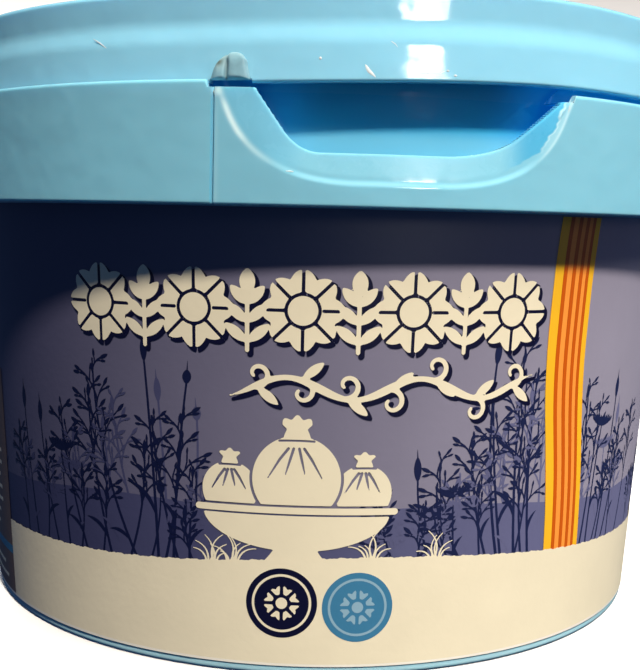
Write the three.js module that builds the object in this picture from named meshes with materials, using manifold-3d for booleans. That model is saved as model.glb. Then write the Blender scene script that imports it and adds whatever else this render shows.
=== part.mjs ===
// A round lidded dairy tub in thin moulded polypropylene, shut, so the tub is solid under its lid.
// Millimetres, +Z up. The origin is the centre of the footprint, on the surface the tub stands on.
// -Y runs through the middle of the finger scoop in the collar, and +X is to the right of it.

import * as THREE from 'three';
import { mergeVertices } from 'three/addons/utils/BufferGeometryUtils.js';
import Module from 'manifold-3d';

const wasm = await Module();
wasm.setup();

// Facets round the whole circle. A multiple of four puts corners on all four axes.
const SEGMENTS = 96;

// The middle corner of a round edge lies this share of the round's size inside both faces.
const ROUND_MIDDLE = 1 - Math.SQRT1_2;

// How far a cutting tool reaches past the face that it opens.
const CUT_MARGIN = 1;

// Tub: a tapered body on a foot ring, with a straight neck that the lid closes over.
const BASE_RADIUS = 51.2;
const BODY_TOP_RADIUS = 54.7;
const FOOT_INNER_RADIUS = 46.4;
const FOOT_RECESS = 0.9;
const FOOT_EDGE = 0.5;
const BASE_RIM_HEIGHT = 1.07;
const NECK_RADIUS = 54.8;
const NECK_TOP_Z = 77.4;
const NECK_EDGE = 0.5;

// Collar: the skirt that stands proud of the body and guards the edge of the lid.
const COLLAR_RADIUS = 59;
const COLLAR_BOTTOM_Z = 57.8;
const COLLAR_TOP_Z = 71.7;
const COLLAR_WALL = 1.2;
const COLLAR_EDGE = 0.3;
const COLLAR_TOP_ROUND = 0.6;
const COLLAR_LIP = 0.9;
const SEAT_Z = 70.8;
const CHANNEL_TOP_Z = 66;

// Finger scoop: angles are in degrees from -Y, positive towards +X.
// A shallow bevel runs from the mouth in to a rim, and behind the rim the scoop widens to its back.
const SCOOP_RIM_RADIUS = 57.8;
const SCOOP_BACK_RADIUS = 54.2;
const SCOOP_TOOL_RADIUS = 60;
const SCOOP_TOOL_TOP_Z = 74;
const STRETCH_STEPS = 6;
const SECTION_CORNERS = 5;
const SCOOP_MOUTH = {
  left: -21.2, right: 21.3, floorLeft: -16.6, floorRight: 16.2, floorZ: 60.2,
  leftCorner: 11.5, rightCorner: 12, cornerRise: 8,
};
const SCOOP_RIM = {
  left: -17.3, right: 20.8, floorLeft: -11.8, floorRight: 10.6, floorZ: 63.8,
  leftCorner: 2.6, rightCorner: 6.5, cornerRise: 2.5,
};
const SCOOP_BACK = {
  left: -19, right: 24.5, floorLeft: -13.6, floorRight: 13.6, floorZ: 63.4,
  leftCorner: 2.6, rightCorner: 6.5, cornerRise: 2.5,
};
const SCOOP_WEB = 1.2;

// Split through the collar at the scoop's left corner, where the tamper strip came away.
const SPLIT_ANGLE = -21.2;
const SPLIT_WIDTH = 0.35;

// Lid: a ring wall for stacking, a sloping ledge, and a drafted band that drops inside the collar.
const LID_BAND_RADIUS = 57.8;
const LID_BAND_TOP_RADIUS = 57.15;
const LID_BAND_WALL = 1.5;
const LID_EDGE_Z = 71.35;
const LID_EDGE = 0.3;
const LEDGE_BOTTOM_Z = 76.35;
const LEDGE_TOP_Z = 77.9;
const LEDGE_CROWN = 0.08;
const STACK_RADIUS = 56.3;
const STACK_TOP_RADIUS = 56.15;
const LID_TOP_Z = 81.9;
const LID_TOP_ROUND = 0.6;
const STACK_RING_WIDTH = 2.4;
const PANEL_Z = 79.1;
const PANEL_THICKNESS = 1.2;
const PANEL_RADIUS = 52.4;
const NECK_CLEARANCE = 0.5;

// The lid has been pushed up at the right, and bends from its seated left side.
const LIFT = 1.3;
const BEND_START_X = -24;
const BEND_LENGTH = 50;

// Stub of the torn tamper bridge, fused to the band of the lid.
const NUB_ANGLE = -19.6;
const NUB_BOTTOM_WIDTH = 4.6;
const NUB_TOP_WIDTH = 3.2;
const NUB_BOTTOM_Z = 71.85;
const NUB_TOP_Z = 74.6;
const NUB_PROUD = 0.5;
const NUB_ROOT = 0.8;
const NUB_BEVEL = 0.22;

const BLUE = 0x86cbe0;
const LID_BLUE = 0x8fd3ec;
const GLOSSY = 0.32;

/** A point at a radius and height, at an angle in degrees from -Y towards +X. */
function polar(radius, angle, z) {
  const radians = THREE.MathUtils.degToRad(angle);
  return new THREE.Vector3(radius * Math.sin(radians), -radius * Math.cos(radians), z);
}

/** A manifold solid of a closed geometry, with shared vertices merged and slivers dropped. */
function toSolid(geometry) {
  const bare = geometry.clone();
  bare.deleteAttribute('normal');
  bare.deleteAttribute('uv');
  const merged = mergeVertices(bare);
  const index = merged.index.array;
  const corners = [];
  for (let i = 0; i < index.length; i += 3) {
    const [a, b, c] = [index[i], index[i + 1], index[i + 2]];
    if (a !== b && b !== c && c !== a) {
      corners.push(a, b, c);
    }
  }
  return new wasm.Manifold(new wasm.Mesh({
    numProp: 3,
    vertProperties: Float32Array.from(merged.attributes.position.array),
    triVerts: Uint32Array.from(corners),
  }));
}

/** The three.js geometry of a manifold solid. */
function toGeometry(solid) {
  const mesh = solid.getMesh();
  const geometry = new THREE.BufferGeometry();
  geometry.setAttribute('position', new THREE.BufferAttribute(mesh.vertProperties, 3));
  geometry.setIndex(new THREE.BufferAttribute(mesh.triVerts, 1));
  return geometry;
}

/** A solid turned about Z from [radius, z] pairs, which run up the outside of the section. */
function turned(pairs) {
  const section = pairs.map(([radius, z]) => new THREE.Vector2(radius, z));
  const geometry = new THREE.LatheGeometry(section, SEGMENTS);
  geometry.rotateX(Math.PI / 2);
  return toSolid(geometry);
}

/** The closed section of a ring of rectangular section, as [radius, z] pairs. */
function ringSection(innerRadius, outerRadius, bottomZ, topZ) {
  return [
    [innerRadius, bottomZ],
    [outerRadius, bottomZ],
    [outerRadius, topZ],
    [innerRadius, topZ],
    [innerRadius, bottomZ],
  ];
}

/** The tub before its scoop: foot ring, tapered body, collar, seat for the lid and neck. */
function tubBlank() {
  const roundMiddle = ROUND_MIDDLE * COLLAR_TOP_ROUND;
  return turned([
    [0, FOOT_RECESS],
    [FOOT_INNER_RADIUS, FOOT_RECESS],
    [FOOT_INNER_RADIUS + FOOT_RECESS, 0],
    [BASE_RADIUS - FOOT_EDGE, 0],
    [BASE_RADIUS, FOOT_EDGE],
    [BASE_RADIUS, BASE_RIM_HEIGHT],
    [BODY_TOP_RADIUS, COLLAR_BOTTOM_Z],
    [COLLAR_RADIUS - COLLAR_EDGE, COLLAR_BOTTOM_Z],
    [COLLAR_RADIUS, COLLAR_BOTTOM_Z + COLLAR_EDGE],
    [COLLAR_RADIUS, COLLAR_TOP_Z - COLLAR_TOP_ROUND],
    [COLLAR_RADIUS - roundMiddle, COLLAR_TOP_Z - roundMiddle],
    [COLLAR_RADIUS - COLLAR_TOP_ROUND, COLLAR_TOP_Z],
    [COLLAR_RADIUS - COLLAR_LIP, COLLAR_TOP_Z],
    [COLLAR_RADIUS - COLLAR_LIP, SEAT_Z],
    [NECK_RADIUS, SEAT_Z],
    [NECK_RADIUS, NECK_TOP_Z - NECK_EDGE],
    [NECK_RADIUS - NECK_EDGE, NECK_TOP_Z],
    [0, NECK_TOP_Z],
  ]);
}

/** A stretch of an outline between two [angle, z] ends, straight or bent towards a third point. */
function stretch(from, to, bend) {
  const [start, end] = [new THREE.Vector2(...from), new THREE.Vector2(...to)];
  const control = bend ? new THREE.Vector2(...bend) : start.clone().lerp(end, 0.5);
  return new THREE.QuadraticBezierCurve(start, control, end);
}

/** Points (angle, z) along a scoop outline: down the left side, along the floor, up the right. */
function scoopOutline(outline, grow) {
  const spread = THREE.MathUtils.radToDeg(grow / COLLAR_RADIUS);
  const floorZ = outline.floorZ - grow;
  const turnZ = floorZ + outline.cornerRise;
  const rise = outline.cornerRise / (COLLAR_TOP_Z - floorZ);
  const [left, right] = [outline.left - spread, outline.right + spread];
  const [floorLeft, floorRight] = [outline.floorLeft - spread, outline.floorRight + spread];
  const leftTurn = [THREE.MathUtils.lerp(floorLeft, left, rise), turnZ];
  const rightTurn = [THREE.MathUtils.lerp(floorRight, right, rise), turnZ];
  const floorStart = [floorLeft + outline.leftCorner, floorZ];
  const floorEnd = [floorRight - outline.rightCorner, floorZ];
  const path = new THREE.CurvePath();
  path.add(stretch([left, COLLAR_TOP_Z], leftTurn));
  path.add(stretch(leftTurn, floorStart, [floorLeft, floorZ]));
  path.add(stretch(floorStart, floorEnd));
  path.add(stretch(floorEnd, rightTurn, [floorRight, floorZ]));
  path.add(stretch(rightTurn, [right, COLLAR_TOP_Z]));
  return path.getPoints(STRETCH_STEPS);
}

/** The space of the scoop: its bevel from mouth to rim, and the wider part behind, open at the top. */
function scoopSpace(grow) {
  const mouth = scoopOutline(SCOOP_MOUTH, grow);
  const rim = scoopOutline(SCOOP_RIM, grow);
  const back = scoopOutline(SCOOP_BACK, grow);
  const reach = (SCOOP_TOOL_RADIUS - COLLAR_RADIUS) / (COLLAR_RADIUS - SCOOP_RIM_RADIUS);
  const positions = [];
  mouth.forEach((edge, k) => {
    const front = edge.clone().lerp(rim[k], -reach);
    const corners = [
      polar(SCOOP_TOOL_RADIUS, front.x, Math.min(front.y, COLLAR_TOP_Z)),
      polar(SCOOP_RIM_RADIUS, rim[k].x, rim[k].y),
      polar(SCOOP_BACK_RADIUS, back[k].x, back[k].y),
      polar(SCOOP_BACK_RADIUS, back[k].x, SCOOP_TOOL_TOP_Z),
      polar(SCOOP_TOOL_RADIUS, front.x, SCOOP_TOOL_TOP_Z),
    ];
    corners.forEach((corner) => positions.push(...corner.toArray()));
  });
  const index = [];
  const steps = mouth.length - 1;
  for (let k = 0; k < steps; k += 1) {
    for (let side = 0; side < SECTION_CORNERS; side += 1) {
      const a = SECTION_CORNERS * k + side;
      const b = SECTION_CORNERS * k + ((side + 1) % SECTION_CORNERS);
      index.push(a, b + SECTION_CORNERS, a + SECTION_CORNERS, a, b, b + SECTION_CORNERS);
    }
  }
  const last = SECTION_CORNERS * steps;
  for (let corner = 2; corner < SECTION_CORNERS; corner += 1) {
    index.push(0, corner, corner - 1, last, last + corner - 1, last + corner);
  }
  const geometry = new THREE.BufferGeometry();
  geometry.setAttribute('position', new THREE.Float32BufferAttribute(positions, 3));
  geometry.setIndex(index);
  return toSolid(geometry);
}

/** The slit that splits the collar's skirt from top to bottom. */
function splitSlit() {
  const height = COLLAR_TOP_Z - COLLAR_BOTTOM_Z + 2 * CUT_MARGIN;
  const depth = 2 * COLLAR_WALL;
  const geometry = new THREE.BoxGeometry(SPLIT_WIDTH, depth, height);
  const centre = polar(COLLAR_RADIUS, SPLIT_ANGLE, (COLLAR_TOP_Z + COLLAR_BOTTOM_Z) / 2);
  geometry.rotateZ(THREE.MathUtils.degToRad(SPLIT_ANGLE));
  geometry.translate(centre.x, centre.y, centre.z);
  return toSolid(geometry);
}

/** The channel under the collar, between its skirt and the body, that stops short of the scoop. */
function underChannel() {
  const ring = turned(ringSection(
    NECK_RADIUS,
    COLLAR_RADIUS - COLLAR_WALL,
    COLLAR_BOTTOM_Z - CUT_MARGIN,
    CHANNEL_TOP_Z,
  ));
  return ring.subtract(scoopSpace(SCOOP_WEB));
}

function tubGeometry() {
  return toGeometry(
    tubBlank()
      .subtract(underChannel())
      .subtract(scoopSpace(0))
      .subtract(splitSlit()),
  );
}

/** The seated lid before it is bent, in a section with extra rings so that its panel can bend. */
function lidBlank() {
  const undersideZ = PANEL_Z - PANEL_THICKNESS;
  const cavityRadius = NECK_RADIUS + NECK_CLEARANCE;
  const bandInner = LID_BAND_RADIUS - LID_BAND_WALL;
  const shoulderZ = LEDGE_BOTTOM_Z - LID_BAND_WALL / 2;
  const ringInner = STACK_TOP_RADIUS - STACK_RING_WIDTH;
  const roundMiddle = ROUND_MIDDLE * LID_TOP_ROUND;
  const ledgeRadius = (LID_BAND_TOP_RADIUS + STACK_RADIUS) / 2 + LEDGE_CROWN;
  const ledgeZ = (LEDGE_BOTTOM_Z + LEDGE_TOP_Z) / 2 + LEDGE_CROWN;
  const panelRings = [PANEL_RADIUS / 3, (2 * PANEL_RADIUS) / 3];
  return turned([
    [0, undersideZ],
    ...panelRings.map((radius) => [radius, undersideZ]),
    [cavityRadius, undersideZ],
    [cavityRadius, shoulderZ + bandInner - cavityRadius],
    [bandInner, shoulderZ],
    [bandInner, LID_EDGE_Z],
    [LID_BAND_RADIUS - LID_EDGE, LID_EDGE_Z],
    [LID_BAND_RADIUS, LID_EDGE_Z + LID_EDGE],
    [LID_BAND_TOP_RADIUS, LEDGE_BOTTOM_Z],
    [ledgeRadius, ledgeZ],
    [STACK_RADIUS, LEDGE_TOP_Z],
    [STACK_TOP_RADIUS, LID_TOP_Z - LID_TOP_ROUND],
    [STACK_TOP_RADIUS - roundMiddle, LID_TOP_Z - roundMiddle],
    [STACK_TOP_RADIUS - LID_TOP_ROUND, LID_TOP_Z],
    [ringInner, LID_TOP_Z],
    [ringInner - LID_TOP_ROUND, LID_TOP_Z - LID_TOP_ROUND],
    [PANEL_RADIUS, PANEL_Z],
    ...panelRings.reverse().map((radius) => [radius, PANEL_Z]),
    [0, PANEL_Z],
  ]);
}

/** The stub of the tamper bridge: a bevelled trapezoid that stands on the drafted band. */
function nub() {
  const height = NUB_TOP_Z - NUB_BOTTOM_Z;
  const draft = Math.atan2(LID_BAND_RADIUS - LID_BAND_TOP_RADIUS, LEDGE_BOTTOM_Z - LID_EDGE_Z);
  const shape = new THREE.Shape();
  shape.moveTo(-NUB_BOTTOM_WIDTH / 2 + NUB_BEVEL, NUB_BEVEL);
  shape.lineTo(NUB_BOTTOM_WIDTH / 2 - NUB_BEVEL, NUB_BEVEL);
  shape.lineTo(NUB_TOP_WIDTH / 2 - NUB_BEVEL, height - NUB_BEVEL);
  shape.lineTo(-NUB_TOP_WIDTH / 2 + NUB_BEVEL, height - NUB_BEVEL);
  shape.closePath();
  const geometry = new THREE.ExtrudeGeometry(shape, {
    depth: NUB_ROOT + NUB_PROUD - 2 * NUB_BEVEL,
    bevelEnabled: true,
    bevelSize: NUB_BEVEL,
    bevelThickness: NUB_BEVEL,
    bevelSegments: 1,
    steps: 1,
  });
  geometry.rotateX(Math.PI / 2 - draft);
  geometry.translate(0, -(LID_BAND_RADIUS - NUB_ROOT + NUB_BEVEL), NUB_BOTTOM_Z);
  geometry.rotateZ(THREE.MathUtils.degToRad(NUB_ANGLE));
  return toSolid(geometry);
}

/** Raises each vertex by a smooth ramp across X, so that the lid bends up at its right side. */
function bendUp(geometry) {
  const position = geometry.attributes.position;
  for (let i = 0; i < position.count; i += 1) {
    const ramp = THREE.MathUtils.smoothstep(position.getX(i), BEND_START_X, BEND_START_X + BEND_LENGTH);
    position.setZ(i, position.getZ(i) + LIFT * ramp);
  }
  return geometry;
}

function lidGeometry() {
  return bendUp(toGeometry(lidBlank().add(nub())));
}

/** A named mesh in glossy moulded plastic. */
function piece(name, geometry, color) {
  const material = new THREE.MeshStandardMaterial({ color, roughness: GLOSSY, metalness: 0 });
  const mesh = new THREE.Mesh(geometry, material);
  mesh.name = name;
  return mesh;
}

const pack = new THREE.Group();
pack.add(piece('tub', tubGeometry(), BLUE));
pack.add(piece('lid', lidGeometry(), LID_BLUE));

export default pack;
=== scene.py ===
"""Dresses the packed frame of a shut dairy tub: mouldings, in-mould film with its print, stage.

Sizes in the code are millimetres and angles are degrees from -Y towards +X, unless a name says
otherwise. Property groups hold metres and radians, as Blender does.
"""

import math
from types import SimpleNamespace

import bmesh
import bpy
import numpy as np
from bpy.props import FloatProperty, FloatVectorProperty, IntProperty, PointerProperty
from mathutils import Matrix, Vector


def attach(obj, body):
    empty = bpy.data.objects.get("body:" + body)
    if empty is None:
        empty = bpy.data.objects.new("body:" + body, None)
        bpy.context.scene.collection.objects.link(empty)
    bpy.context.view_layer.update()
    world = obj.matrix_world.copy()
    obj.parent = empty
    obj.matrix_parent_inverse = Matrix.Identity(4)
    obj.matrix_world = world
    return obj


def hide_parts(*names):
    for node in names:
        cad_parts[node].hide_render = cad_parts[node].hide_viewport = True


bl_info = {
    "name": "Lidded dairy tub",
    "version": (1, 0, 0),
    "blender": (4, 5, 0),
    "location": "3D view > Sidebar > Dairy tub",
    "description": "Mouldings, printed film and stage for a shut round dairy tub",
    "category": "Add Mesh",
}

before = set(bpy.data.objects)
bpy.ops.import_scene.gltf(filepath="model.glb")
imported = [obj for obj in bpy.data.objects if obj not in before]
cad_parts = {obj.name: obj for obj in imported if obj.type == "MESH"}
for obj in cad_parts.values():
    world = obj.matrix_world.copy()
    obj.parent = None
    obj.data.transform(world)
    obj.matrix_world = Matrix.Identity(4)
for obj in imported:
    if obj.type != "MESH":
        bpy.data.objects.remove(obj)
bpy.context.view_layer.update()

MM = 0.001
BODY = "root"

# Radius at which the flat artwork is wrapped round the body.
PRINT_RADIUS = 53.0
# The film lies this far off the wall, and each ink a little further.
FILM_LIFT = 0.05
INK_STEP = 0.010


# ---------------------------------------------------------------- helpers

def linear(hex_colour):
    """sRGB hex value as linear red, green and blue."""
    value = np.array([int(hex_colour[i:i + 2], 16) for i in (1, 3, 5)]) / 255
    return tuple(np.where(value <= 0.04045, value / 12.92, ((value + 0.055) / 1.055) ** 2.4))


def add_node(tree, kind, settings=None, inputs=None):
    """Adds a node. Inputs are given as values, or as the output sockets that feed them."""
    node = tree.nodes.new(kind)
    for key, value in (settings or {}).items():
        setattr(node, key, value)
    for key, value in (inputs or {}).items():
        if isinstance(value, bpy.types.NodeSocket):
            tree.links.new(value, node.inputs[key])
        else:
            node.inputs[key].default_value = value
    return node


def smooth(value, low, high):
    """Smooth step: 0 at low, 1 at high, 3t^2 - 2t^3 between."""
    t = np.clip((value - low) / (high - low), 0, 1)
    return t * t * (3 - 2 * t)


def knee(value, size):
    """A bend from flat to a slope of one: 0 below -size, value above size, a parabola between."""
    bend = (value + size) ** 2 / (4 * size)
    return np.where(value > size, value, np.where(value < -size, 0, bend))


def mix(a, b, t):
    """Straight blend from a to b."""
    return a + (b - a) * t


def ring(radius, angle, height):
    """Points at a radius and height, at an angle from -Y towards +X: (r sin a, -r cos a, z)."""
    radius, a, height = np.broadcast_arrays(radius, np.radians(angle), height)
    return np.stack([radius * np.sin(a), -radius * np.cos(a), height], -1)


def quads(rows, columns, closed=False):
    """Corner numbers of a grid's quads; a closed grid joins its last column to its first."""
    last = columns if closed else columns - 1
    row, column = np.meshgrid(np.arange(rows - 1), np.arange(last), indexing="ij")
    after = (column + 1) % columns
    corners = [row * columns + column, row * columns + after,
               (row + 1) * columns + after, (row + 1) * columns + column]
    return np.stack(corners, -1).reshape(-1, 4)


def rounded(corners, steps=5, lead=0.12):
    """A section through (radius, height, fillet) corners.

    Each fillet is the arc that touches both sides: it starts fillet / tan(half angle) from the
    corner, and its centre is fillet / sin(half angle) away along the bisector. Flats that are long
    enough get a point a short lead from each end, so that they shade flat.
    """
    corners = np.array(corners, float)
    blocks = [corners[:1, :2]]
    for before, here, after in zip(corners[:-2], corners[1:-1], corners[2:]):
        point, fillet = here[:2], here[2]
        if fillet == 0:
            blocks.append(point[None])
            continue
        a = (before[:2] - point) / np.linalg.norm(before[:2] - point)
        b = (after[:2] - point) / np.linalg.norm(after[:2] - point)
        half = np.arccos(np.clip(a @ b, -1, 1)) / 2
        centre = point + (a + b) / np.linalg.norm(a + b) * fillet / np.sin(half)
        start = point + a * fillet / np.tan(half) - centre
        end = point + b * fillet / np.tan(half) - centre
        sweep = np.pi - 2 * half
        t = np.linspace(0, sweep, steps + 1)[:, None]
        blocks.append(centre + (np.sin(sweep - t) * start + np.sin(t) * end) / np.sin(sweep))
    blocks.append(corners[-1:, :2])
    path = [blocks[0]]
    for one, two in zip(blocks[:-1], blocks[1:]):
        start, end = one[-1], two[0]
        reach = np.linalg.norm(end - start)
        if reach > 4 * lead:
            share = np.array([[lead / reach], [1 - lead / reach]])
            path.append(start + (end - start) * share)
        path.append(two)
    return np.vstack(path)


def refined(path, pitch):
    """The same path with equal steps put into each side that is longer than the pitch."""
    pieces = []
    for start, end in zip(path[:-1], path[1:]):
        count = max(1, math.ceil(np.linalg.norm(end - start) / pitch))
        pieces.append(start + (end - start) * np.arange(count)[:, None] / count)
    return np.vstack([*pieces, path[-1:]])


def make_piece(name, points, faces, material, sharp=40, weld=0.0, values=None):
    """A mesh object at the origin, from points in millimetres. Values are point attributes.

    Faces are an array of corner numbers, or a list of arrays. Points closer than the weld are
    merged, and sides under a fifth of it are taken out.
    """
    blocks = faces if isinstance(faces, list) else [faces]
    mesh = bpy.data.meshes.new(name)
    mesh.from_pydata((points.reshape(-1, 3) * MM).tolist(), [],
                     [face.tolist() for block in blocks for face in block])
    for key, value in (values or {}).items():
        layer = mesh.attributes.new(key, "FLOAT", "POINT")
        layer.data.foreach_set("value", np.asarray(value, np.float32).ravel())
    if weld:
        work = bmesh.new()
        work.from_mesh(mesh)
        bmesh.ops.remove_doubles(work, verts=work.verts, dist=weld * MM)
        bmesh.ops.dissolve_degenerate(work, edges=work.edges, dist=0.2 * weld * MM)
        work.to_mesh(mesh)
        work.free()
    mesh.validate()
    mesh.shade_smooth()
    mesh.set_sharp_from_angle(angle=math.radians(sharp))
    mesh.materials.append(material)
    piece = bpy.data.objects.new(name, mesh)
    bpy.context.scene.collection.objects.link(piece)
    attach(piece, BODY)
    return piece


def in_mm(group):
    """A property group's lengths in millimetres and its angles in degrees, by name."""
    values = {}
    for key, rule in group.bl_rna.properties.items():
        if key in ("rna_type", "name"):
            continue
        value = getattr(group, key)
        if rule.subtype == "DISTANCE":
            value = value / MM
        elif rule.subtype == "ANGLE":
            value = math.degrees(value)
        values[key] = value
    return SimpleNamespace(**values)


def length(name, size, description):
    """A length property, its default given in millimetres."""
    return FloatProperty(name=name, description=description, default=size * MM,
                         subtype="DISTANCE", unit="LENGTH", precision=5)


def turn(name, size, description):
    """An angle property, its default given in degrees."""
    return FloatProperty(name=name, description=description, default=math.radians(size),
                         subtype="ANGLE", unit="ROTATION")


def power(name, strength, description):
    """A light's strength, which can't be less than nothing."""
    return FloatProperty(name=name, description=description, default=strength, min=0)


def colour(name, hex_colour, description):
    """A colour property, its default given as an sRGB hex value."""
    return FloatVectorProperty(name=name, description=description, default=linear(hex_colour),
                               subtype="COLOR", size=3, min=0, max=1)


# ---------------------------------------------------------------- settings

class TubSizes(bpy.types.PropertyGroup):
    """Sizes of the tub's moulding."""

    base_radius: length("Base radius", 51.2, "Outer radius at the foot")
    wall_top_radius: length("Wall top radius", 54.7, "Outer radius of the wall under the collar")
    rim_height: length("Base rim", 1.07, "Height of the bare rim under the film")
    collar_radius: length("Collar radius", 59, "Outer radius of the collar")
    collar_bottom: length("Collar bottom", 57.8, "Height of the collar's lower edge")
    collar_top: length("Collar top", 71.7, "Height of the collar's upper edge")
    collar_wall: length("Collar wall", 1.2, "Thickness of the collar's skirt")
    collar_lip: length("Collar lip", 0.9, "Width of the lip outside the lid")
    seat: length("Seat", 70.8, "Height of the seat inside the lip")
    channel_top: length("Channel top", 66, "Height of the channel under the collar")
    neck_radius: length("Neck radius", 54.8, "Outer radius of the neck under the lid")
    neck_top: length("Neck top", 77.4, "Height of the neck")
    bevel_depth: length("Bevel depth", 0.74, "Depth of the finger scoop's bevel at its inner rim")
    scoop_depth: length("Scoop depth", 4.8, "Depth of the finger scoop at its back wall")
    split_angle: turn("Split", -21.2, "Where the skirt is split, from the middle of the scoop")
    split_width: length("Split width", 0.35, "Width of the split")


class LidSizes(bpy.types.PropertyGroup):
    """Sizes of the lid's moulding."""

    band_radius: length("Band radius", 57.8, "Radius at the band's lower edge")
    band_top_radius: length("Band top radius", 57.15, "Radius where the band meets the ledge")
    band_wall: length("Band wall", 1.5, "Thickness of the band")
    edge: length("Lower edge", 71.35, "Height of the band's lower edge")
    ledge_bottom: length("Ledge bottom", 76.0, "Height of the ledge's outer edge")
    ledge_top: length("Ledge top", 78.05, "Height where the ledge meets the stacking wall")
    stack_radius: length("Stack radius", 56.3, "Radius at the foot of the stacking wall")
    stack_top_radius: length("Stack top radius", 56.15, "Radius at the top of the wall")
    top: length("Top", 81.9, "Height of the stacking ring")
    ring_width: length("Ring width", 2.4, "Width of the stacking ring")
    panel: length("Panel", 79.1, "Height of the panel inside the ring")
    panel_radius: length("Panel radius", 52.4, "Radius of the panel")
    cavity_radius: length("Cavity radius", 55.3, "Radius of the cavity over the neck")
    underside: length("Underside", 77.9, "Height of the panel's underside")
    lift: length("Lift", 1.3, "How far the right side has been pushed up")
    bend_start: length("Bend start", -24, "X where the lid starts to bend up")
    bend_length: length("Bend length", 50, "Length over which it bends")


class Finishes(bpy.types.PropertyGroup):
    """Colours of the plastics and inks."""

    tub: colour("Tub plastic", "#85C7DB", "Light blue polypropylene of the tub")
    lid: colour("Lid plastic", "#8ACAE2", "Light blue polypropylene of the lid")
    # Whitened plastic; its colour also serves as a painted highlight along the scoop's mouth and
    # to the right of the split.
    whitening_and_highlight: colour("Stressed plastic", "#DDFBFF", "Plastic that has whitened where it was bent")
    # Sky, hills and plant inks run from a dark to a bright colour round the tub: partly a printed
    # gradient, partly painted light, with painted sheen on the bright side and painted shade on
    # the dark side.
    film: colour("Sky, bright side", "#A09CAD", "Lilac grey ground of the film, at its brightest")
    film_deep: colour("Sky, dark side", "#343659", "Ground of the film where it is darkest")
    hills: colour("Hills, bright side", "#707296", "Hills behind the meadow, at their brightest")
    hills_deep: colour("Hills, dark side", "#22254A", "Hills where they are darkest")
    plants: colour("Plant ink, bright side", "#20284F", "Ink of the meadow on the bright side")
    plants_deep: colour("Plant ink, dark side", "#05072A", "Ink of the meadow on the dark side")
    navy: colour("Navy ink", "#0D0D2C", "Shadows of the ornament and one roundel")
    cream: colour("Cream ink", "#F1E8C9", "Lower field and ornament")
    azure: colour("Blue ink", "#3F7FA3", "The second roundel")
    pale_azure: colour("Pale blue ink", "#8FB4C6", "Figure on the second roundel")
    panel: colour("Panel ink", "#6E5A4C", "Muted brown ground of the small print")
    yellow: colour("Yellow ink", "#FABF26", "Edge of the ribbon")
    orange: colour("Orange ink", "#FF9E3E", "Ground between the stripes")
    red: colour("Red ink", "#CC5A02", "Stripes of the ribbon")
    # Painted highlight: a pale strip where the film's rounded lower edge catches the light.
    edge: colour("Film edge", "#F6F3E4", "Bare film along its lower edge")


class StageLook(bpy.types.PropertyGroup):
    """Studio light, floor and seed."""

    key_turn: turn("Key turn", 12.9, "Key light, round from the middle of the scoop")
    key_height: turn("Key height", 56.2, "Key light, above the horizon")
    key_size: turn("Key size", 5, "How wide the key light looks from the tub")
    key_power: power("Key", 5.75, "Strength of the key light")
    fill_power: power("Fill", 1.9, "Strength of the fill light")
    glint_power: power("Glint", 20, "Brightness of the lamp that the gloss reflects")
    rim_power: power("Back lights", 1.6, "Strength of the lights behind")
    floor: colour("Floor", "#D9DADA", "Pale floor and backdrop")
    seed: IntProperty(name="Seed", description="Seed of the printed meadow", default=7)


# ---------------------------------------------------------------- materials

# Sockets of a Mix node for colours: its factor, its two colours and what comes out.
FACTOR, COLOUR_A, COLOUR_B, MIXED = 0, 6, 7, 2
FOR_COLOURS = {"data_type": "RGBA"}
PLASTIC_IOR = 1.49
FILM_IOR = 1.47
# Roughness of the satin film.
SATIN = 0.4


def surface(name, finish):
    """A new material, its tree, its principled shader set to a finish, and object coordinates."""
    material = bpy.data.materials.new(name)
    material.use_nodes = True
    tree = material.node_tree
    tree.nodes.clear()
    shader = add_node(tree, "ShaderNodeBsdfPrincipled", inputs=finish)
    add_node(tree, "ShaderNodeOutputMaterial", inputs={"Surface": shader.outputs[0]})
    place = add_node(tree, "ShaderNodeTexCoord").outputs["Object"]
    return material, tree, shader, place


def per_mm(size):
    """Texture scale for a pattern whose cells are this many millimetres."""
    return 1 / (size * MM)


def tinted(tree, layer, tints):
    """Lays tints over a colour, each by the share in the point attribute of its name."""
    for key, rgb in tints.items():
        amount = add_node(tree, "ShaderNodeAttribute", {"attribute_name": key})
        over = add_node(tree, "ShaderNodeMix", FOR_COLOURS, {
            FACTOR: amount.outputs["Fac"], COLOUR_A: layer, COLOUR_B: (*rgb, 1)})
        layer = over.outputs[MIXED]
    return layer


# Painted shade: what the plastic keeps of its red, green and blue where shade is painted in.
PAINTED_SHADE_KEEPS = (0.12, 0.66, 0.92)
# What the etched face of the mould adds to the roughness and to the specular level.
ETCHED_ROUGHNESS, ETCHED_SPECULAR = 0.17, -0.30
# Painted glow: colour and strength of an emission that stands in for light seeping through from
# behind.
PAINTED_GLOW_COLOUR, PAINTED_GLOW_STRENGTH = (0.0, 0.27, 1.0), 0.14


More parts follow.
